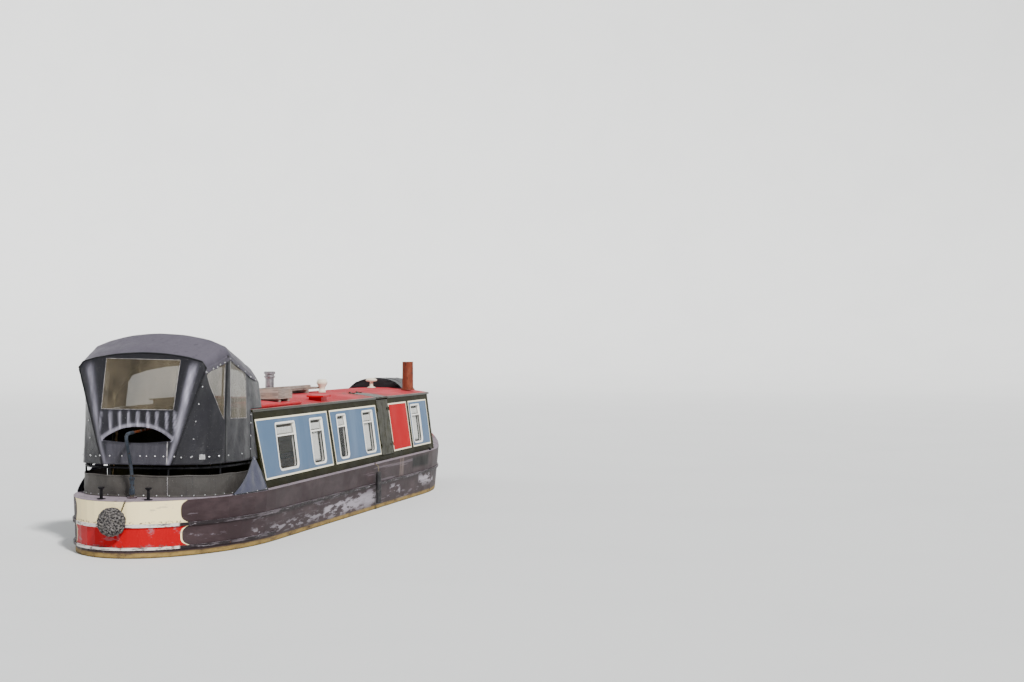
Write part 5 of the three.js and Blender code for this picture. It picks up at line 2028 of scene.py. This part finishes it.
            # Columns: start and end as k and height, steps, the tape's width and height
            for start, end, steps, width, height in (
                ((0.0, self.hem), (0.0, self.wall_rows[0][4]), 20, 0.010, 0.004),
                ((3.2, 1450), (2.8, self.eave(2.8)[2]), 20, 0.042, 0.003),
                ((0.5, 1584), (3.0, 1584), 20, 0.006, 0.002),
                ((4.86, 1450), (4.86, 1950), 12, 0.016, 0.003),
            ):
                welts.append(tape(line(start, end, steps, sign), width, height))
            strip = functools.partial(self.valance, ground, sign=sign)
            valances.append(grid_sheet("valance", strip, 70, 4, core, 0.002))
            spots += [strip(0.03 + 0.94 * i / 9, 0.75) for i in range(10)]
            marks = [(0.76 - 0.71 * t, 1528 + 912 * t) for t in (0.0, 0.2, 0.4, 0.6, 0.8, 0.97)]
            marks += [(k, 1520) for k in (0.3, 0.72, 2.1, 2.75, 3.3, 4.1)]
            marks += [(4.8, z) for z in (1560, 1700, 1840, 1930)]
            spots += [self.on_wall(k, z, sign) for k, z in marks]
        spots += [at(512, y, 1530) for y in (420, 302, 165, 77, -40, -111, -205, -302, -420)]
        made.append(settle(join(valances), "hood_valance", [Look.HOOD_TOP_SKYLIT], "canvas"))
        made.append(settle(join(welts), "hood_welts", [Look.WELT], "canvas"))
        made.append(ground.snaps("hood_studs", spots, 0.004, 0.009))
        zip_line = [at(505, -338 - 4 * t / 20, 1445 + 240 * t / 20) for t in range(21)]
        made.append(settle(tape(zip_line, 0.012, 0.003), "hood_zip", [Look.THREAD], "canvas"))
        patch = tape(line((1.2, 1520), (1.76, 1520), 2, -1), 0.052, 0.002)
        made.append(settle(patch, "hood_bare_patch", [Look.PATCH], "canvas"))
        return made

    def build(self) -> None:
        """Make the hood with all that is sewn on it."""
        cloth = self.cloth()
        bm = bmesh.new()
        bm.from_mesh(cloth.data)
        face_out(bm, at(1300, 0, 2000))
        bm.to_mesh(cloth.data)
        bm.free()
        trims = self.trimmings(cloth)
        apply(cloth, "SOLIDIFY", thickness=0.003, offset=-1.0, use_even_offset=False)
        hood = settle(cloth, "pram_hood", [Look.HOOD, Look.VINYL, Look.HOOD_TOP_SKYLIT], "canvas", replaces=["hood"])


RAIL_PLAN = ((1560, 835), (1250, 825), (900, 770), (680, 600), (570, 330), (545, 0))


@dataclass
class SternDodger:
    """The cloth screen laced to the stern rail's posts, faded and slack between them."""

    foot: float = 1100.6
    head: float = 1334.0
    off: float = 17.2  # from the rail's line to the cloth's outer face

    def line(self, share: float) -> tuple[float, float, Vector]:
        """Follow the rail.

        Args:
            share: share of its length from the port end.

        Returns:
            The station, the offset to port and the outward way.
        """
        whole = [*RAIL_PLAN, *[(s, -y) for s, y in reversed(RAIL_PLAN[:-1])]]
        k = share * (len(whole) - 1)
        a, b = catmull(whole, max(0.0, k - 0.01)), catmull(whole, min(len(whole) - 1.0, k + 0.01))
        s, y = catmull(whole, k)
        run = Vector((b[0] - a[0], b[1] - a[1], 0)).normalized()
        return s, y, Vector((run.y, -run.x, 0))

    def place(self, u: float, v: float) -> Vector:
        """Give a point of the cloth.

        Args:
            u: share of the rail's length.
            v: share of the way up.

        Returns:
            The point.
        """
        s, y, out = self.line(u)
        droop = 9 * abs(math.sin(u * 6 * math.pi)) + 3 * noise.noise(Vector((u * 30, 0, 2)))
        z = self.foot + (self.head - droop - self.foot) * v
        ripple = 4.5 * noise.noise(Vector((u * 13, v * 1.6, 9.0))) + 2.2 * noise.noise(
            Vector((u * 40, v * 3, 4.0))
        )
        lean = 5 * math.sin(v * math.pi) * math.sin(u * 6 * math.pi) ** 2
        away = self.off + (ripple + lean) * blend_in(v, 0.0, 0.25)
        return at(s + out.x * away, y + out.y * away, z)

    def build(self) -> None:
        """Make the dodger, its hem and its lacing."""
        core = at(1000, 0, 1200)
        cloth = grid_sheet("cloth", self.place, 220, 16, core, 0.0025)
        ground = Ground(cloth, core)
        rims = [[self.place(i / 200, v) for i in range(201)] for v in (0.03, 0.96)]
        hem = settle(join(ground.tapes(rims, 0.02, 0.003)), "dodger_hems", [Look.DODGER], "canvas")
        line = [self.place(0.598 + 0.0006 * (-1) ** v, v / 16) for v in range(17)]
        seam = settle(ground.tapes([line], 0.009, 0.003)[0], "dodger_lacing", [Look.THREAD], "canvas")
        snaps = ground.snaps("dodger_studs", [self.place((i + 0.5) / 24, 0.08) for i in range(24)], 0.003)
        settle(cloth, "stern_dodger_cloth", [Look.DODGER], "canvas", replaces=["stern_dodger"])


@dataclass
class QuarterScreens:
    """The cloaks from the hood's hem beside the cabin down to the deck's edge."""

    # Columns: station, height of the upper edge above the deck
    head: tuple[tuple[float, float], ...] = (
        (940, 10), (1080, 92), (1240, 187), (1400, 283), (1545, 366), (1566, 370), (1600, 370), (1640, 200),
    )
    foot: float = 1100.6
    deck: float = 1100.0
    rise: float = 370.0  # height of the cloak at its highest
    half_beam: float = 1040.0
    stern_round: float = 1850.0  # length of the counter's rounding
    inset: float = 11.0  # from the deck's edge to the cloak's foot

    def place(self, u: float, v: float, side: Side, wall: Callable[[float, float], float]) -> Vector:
        """Give a point of the cloak.

        Args:
            u: share of the way from its aft to its fore end.
            v: share of the way up.
            side: the side of the boat.
            wall: gives the hood's half breadth at a station and a height.

        Returns:
            The point.
        """
        aft, fore = self.head[0][0], self.head[-1][0]
        s = aft + (fore - aft) * u
        k = next(k for k in range(len(self.head) - 1) if s <= self.head[k + 1][0] + 1e-6)
        (a, low), (b, high) = self.head[k], self.head[k + 1]
        top = self.deck + low + (high - low) * (s - a) / (b - a)
        z = self.foot + (top - self.foot) * v
        edge = self.half_beam * math.sin(math.acos(1 - s / self.stern_round)) - self.inset
        lean = (z - self.foot) / self.rise
        loose = math.sin(math.pi * min(1.0, v * 1.1)) * math.sin(math.pi * u)
        wave = 9 * math.sin(u * 17 - v * 2.2) + 8 * noise.noise(Vector((u * 5, v * 2, side.value * 6.0)))
        y = edge + (wall(max(s, 1480.0), 1470.0) + 3 - edge) * lean + wave * loose
        return at(s, side.value * y, z)

    def build(self) -> None:
        """Make both cloaks."""
        hood = PramHood()

        def wall(s: float, z: float) -> float:
            """Find the half breadth of the hood's wall.

            Args:
                s: the station, in millimetres.
                z: the height.

            Returns:
                The half breadth, in millimetres.
            """
            low, high = 3.0, 6.0
            for _ in range(24):
                k = (low + high) / 2
                low, high = (k, high) if hood.wall(k, z)[0] < s else (low, k)
            return hood.wall(low, z)[1] + 6

        core = at(1300, 0, 1250)
        for side in Side:
            def point(u: float, v: float, side: Side = side) -> Vector:
                """Give a point of this side's cloak."""
                return self.place(u, v, side, wall)

            cloak = grid_sheet("cloak", point, 54, 22, core, 0.0025)
            ground = Ground(cloak, core)
            rims = [
                [point(0.01 + 0.86 * u / 30, 0.985) for u in range(31)],
                [point(0.995, 1 - v / 10) for v in range(11)],
                [point(u / 30, 0.03) for u in range(31)],
            ]
            edges = join(ground.tapes(rims, 0.014, 0.003))
            hem = settle(edges, f"quarter_cloak_hem_{side.word}", [Look.WELT], "canvas")
            dots = [point(u, 0.05) for u in (0.06, 0.35, 0.65, 0.95)] + [point(0.9, 0.93)]
            snaps = ground.snaps(f"quarter_cloak_studs_{side.word}", dots, 0.0005)
            node = f"quarter_screen_{side.word}"
            settle(cloak, f"quarter_cloak_{side.word}", [Look.CLOAK], "canvas", replaces=[node])


@dataclass
class CratchCover:
    """The black cover over the fore well: one cloth from the cabin's front to the cratch board."""

    # Columns: half breadth and height of the section at the aft end
    section: tuple[tuple[float, float], ...] = (
        (915, 1136), (880, 1300), (700, 1640), (430, 2020), (240, 2150), (0, 2190)
    )
    aft: float = 8786.0
    fore: float = 9929.4
    fore_share: float = 0.64  # breadth at the fore end, as a share of that at the aft end
    sheer: float = 85.0  # how far the foot rises from aft to fore
    drop: float = 20.0  # how far the ridge falls from aft to fore
    panel_half: float = 400.0  # half breadth of the panel above the roof
    panel_foot: float = 2038.0
    panel_station: float = 8791.5

    def place(self, u: float, v: float) -> Vector:
        """Give a point of the cover.

        Args:
            u: share of the way from aft to fore.
            v: share of the way from the starboard foot over the ridge to the port foot.

        Returns:
            The point.
        """
        sign = -1 if v < 0.5 else 1
        k = (2 * v if v < 0.5 else 2 - 2 * v) * (len(self.section) - 1)
        y, z = catmull(self.section, k)
        lift = z - self.drop * u
        if k < 1:
            lift = (self.section[0][1] + self.sheer * u) * (1 - k) + (self.section[1][1] - self.drop * u) * k
        share = 1 + (self.fore_share - 1) * u
        pull = noise.noise(Vector((u * 5, v * 9, 3.0))) * 7 + noise.noise(Vector((u * 14, v * 26, 8.0))) * 2.5
        hollow = -14 * math.sin(math.pi * u) * blend_in(k, 0.4, 1.6) * (1 - blend_in(k, 4.4, 5.0))
        calm = blend_in(u, 0.0, 0.08) * (1 - blend_in(u, 0.92, 1.0)) * blend_in(k, 0.0, 0.3)
        out = (pull + hollow) * calm - 1.5
        return at(
            self.aft + (self.fore - self.aft) * u, sign * max(0.0, y * share + 0.8 * out), lift + 0.6 * out
        )

    def aft_panel(self) -> None:
        """Close the arch above the cabin's roof with a slack panel."""

        def place(u: float, v: float) -> Vector:
            """Give a point of the panel.

            Args:
                u: share of the way from starboard to port.
                v: share of the way up.

            Returns:
                The point.
            """
            y = self.panel_half * (2 * u - 1)
            k = next(k for k in range(2, 5) if abs(y) >= self.section[k + 1][0])
            (a, low), (b, high) = self.section[k], self.section[k + 1]
            top = low + (high - low) * (a - abs(y)) / (a - b) - 6
            z = self.panel_foot + (top - self.panel_foot) * v
            sag = 3.5 * noise.noise(Vector((u * 7, v * 2, 4.0))) + 3 * math.sin(u * 24 + v * 2) * v
            return at(self.panel_station + sag * math.sin(math.pi * v), y, z)

        panel = grid_sheet("panel", place, 60, 10, at(9400, 0, 2100), 0.002)
        settle(panel, "cratch_aft_panel", [Look.CRATCH], "black_canvas")

    def build(self) -> None:
        """Make the cover, its seams and its fasteners."""
        core = at(9300, 0, 1500)
        cloth = grid_sheet("cover", self.place, 48, 96, core, 0.003)
        ground = Ground(cloth, core)
        arches = [[self.place(u, v / 80) for v in range(81)] for u in (0.03, 0.5, 0.97)]
        lengths = [[self.place(u / 30, v) for u in range(31)] for v in (0.03, 0.97, 0.36, 0.64)]
        seams = join([*ground.tapes(arches, 0.03, 0.003), *ground.tapes(lengths, 0.026, 0.003)])
        seam = settle(seams, "cratch_cover_seams", [Look.WELT], "black_canvas")
        dots = [self.place((i + 0.5) / 9, v) for i in range(9) for v in (0.03, 0.97)]
        snaps = ground.snaps("cratch_cover_studs", dots, 0.003)
        self.aft_panel()
        settle(cloth, "cratch_cover_cloth", [Look.CRATCH], "black_canvas", replaces=["cratch_cover"])


@dataclass
class RopeButton:
    """A button fender: strands of rope hitched over a round core."""

    name: str
    node: str
    middle: Vector
    way: Vector
    radius: float
    length: float
    strands: int = 13  # in each of the two ways round
    thick: float = 0.0125
    twist: float = 2.3  # how far a strand turns about the fender from back to nose, in radians
    weave: float = 0.0035  # how far strands pass over and under each other

    def profile(self, t: float) -> tuple[float, float]:
        """Follow the fender's face.

        Args:
            t: share of the way from its back to its nose.

        Returns:
            The radius there and the distance from its back, in metres.
        """
        points = ((0.80, 0.0), (0.96, 0.16), (1.0, 0.42), (0.93, 0.7), (0.74, 0.9), (0.4, 0.99), (0.04, 1.0))
        share, reach = catmull(points, t * (len(points) - 1))
        return share * self.radius, reach * self.length

    def build(self) -> None:
        """Wind the strands both ways, over and under each other, round the core."""
        across = self.way.orthogonal().normalized()
        other = self.way.cross(across)
        parts = []
        for turn in (1, -1):
            for k in range(self.strands):
                points = []
                for i in range(49):
                    t = i / 48
                    angle = 2 * math.pi * k / self.strands + turn * self.twist * t
                    radius, reach = self.profile(t)
                    weave = self.weave * turn * math.sin(angle * self.strands / 2 + t * 26)
                    r = max(0.002, radius - self.thick - 0.004 + weave)
                    depth = max(self.thick + 0.0005, reach - self.thick * t - 0.003 + weave * t)
                    spot = across * math.cos(angle) + other * math.sin(angle)
                    points.append(self.middle + spot * r + self.way * depth)
                parts.append(tube("strand", points, self.thick, 8))
        core = []
        for i in range(15):
            radius, reach = self.profile(i / 14)
            core.append((max(0.001, radius - 0.018), max(0.0, reach - 0.018)))
        bm = bmesh.new()
        rings = []
        for r, depth in core:
            points = circle(self.middle + self.way * (depth + SEAT), across, other, r, 24)
            rings.append([bm.verts.new(point) for point in points])
        skin(bm, rings)
        bmesh.ops.recalc_face_normals(bm, faces=bm.faces)
        parts.append(from_bmesh(bm, "core"))
        settle(join(parts), self.name, [Look.BUTTON_ROPE], "rope", replaces=[self.node])


@dataclass
class SmallFittings:
    """The stern fender's chain, the side fender's lanyard and eye, and the cleat on the gunwale."""

    def chain(self, name: str, start: Vector, end: Vector, links: int) -> None:
        """Make a short chain held taut between two places.

        Args:
            name: the piece's name.
            start: where it starts.
            end: where it ends.
            links: how many links it has.
        """
        run = (end - start).normalized()
        side_way = run.orthogonal().normalized()
        other = run.cross(side_way)
        pitch = (end - start).length / links
        parts = []
        for k in range(links):
            middle = start + run * pitch * (k + 0.5)
            wide = side_way if k % 2 else other
            ring = []
            for n in range(18):
                a = 2 * math.pi * n / 18
                ring.append(middle + run * math.cos(a) * pitch * 0.72 + wide * math.sin(a) * pitch * 0.38)
            parts.append(tube("link", ring, pitch * 0.13, 6, True))
        settle(join(parts), name, [Look.BLACK], "strake_paint")

    def lanyard(self) -> None:
        """Hang the side fender from its eye on the gunwale."""
        top = at(5500, -1030, 1122)
        path = [
            at(5500, -1080.3, 1010),
            at(5500, -1079, 1060),
            at(5500, -1068, 1096),
            top + Vector((0, -0.008, 0.0)),
        ]
        points = [Vector(catmull([tuple(p) for p in path], k / 8)) for k in range(25)]
        settle(tube("lanyard", points, 0.005, 8), "side_fender_lanyard", [Look.LANYARD], "rope")
        ring = [
            top + Vector((math.cos(a) * 0.016, 0, math.sin(a) * 0.016))
            for a in (2 * math.pi * n / 18 for n in range(18))
        ]
        settle(tube("eye", ring, 0.004, 6, True), "side_fender_eye", [Look.BLACK], "strake_paint")

    def cleat(self) -> None:
        """Stand a small two-horned cleat on the starboard gunwale."""
        bpy.ops.object.select_all(action="DESELECT")
        foot = at(8350, -985, 1133.5)
        bpy.ops.mesh.primitive_cube_add(
            size=1, location=foot + Vector((0, 0, 0.012)), scale=(0.05, 0.022, 0.024)
        )
        bpy.ops.object.transform_apply()
        cleat = bpy.context.object
        with editing():
            pick(lambda co, no: no.z > 0.9)
            bpy.ops.mesh.inset(thickness=0.004)
            bpy.ops.mesh.extrude_region_move(TRANSFORM_OT_translate={"value": (0, 0, 0.012)})
            for way in (1, -1):
                pick(lambda co, no, way=way: no.x * way > 0.9 and co.z > foot.z + 0.025)
                bpy.ops.mesh.extrude_region_move(TRANSFORM_OT_translate={"value": (0.045 * way, 0, 0.004)})
        apply(cleat, "BEVEL", width=0.003, segments=2)
        bpy.ops.object.shade_smooth_by_angle(angle=math.radians(40))
        settle(cleat, "gunwale_cleat", [Look.BLACK], "strake_paint")

    def build(self) -> None:
        """Make the small fittings."""
        self.chain("stern_fender_chain", at(6, -112, 1106), at(-42, -92, 1004), 6)
        self.lanyard()
        self.cleat()


def main() -> None:
    """Build the boat's looks, the studio and the camera."""
    logging.basicConfig(level=logging.INFO, format="%(name)s %(message)s", stream=sys.stdout)
    Studio().build()
    Dress().build()
    CabinWindows().build()
    NetCurtains().build()
    PramHood().build()
    SternDodger().build()
    QuarterScreens().build()
    CratchCover().build()
    RopeButton(
        "stern_button_fender", "stern_fender", at(-20.3, 0, 900), Vector((-1, 0, 0)), 0.152, 0.150
    ).build()
    # The stem leans forward from station 10915 at a height of 868 mm, by 135 mm in 552 mm
    lean = math.atan(135 / 552)
    height = 1120
    seat = at(10915 + (height - 868) * math.tan(lean) + SEAT * 1000 / math.cos(lean), 0, height)
    way = Vector((math.cos(lean), 0, -math.sin(lean)))
    RopeButton("bow_button_fender", "bow_fender", seat, way, 0.125, 0.160, 11).build()
    SmallFittings().build()


if __name__ == "__main__":
    main()
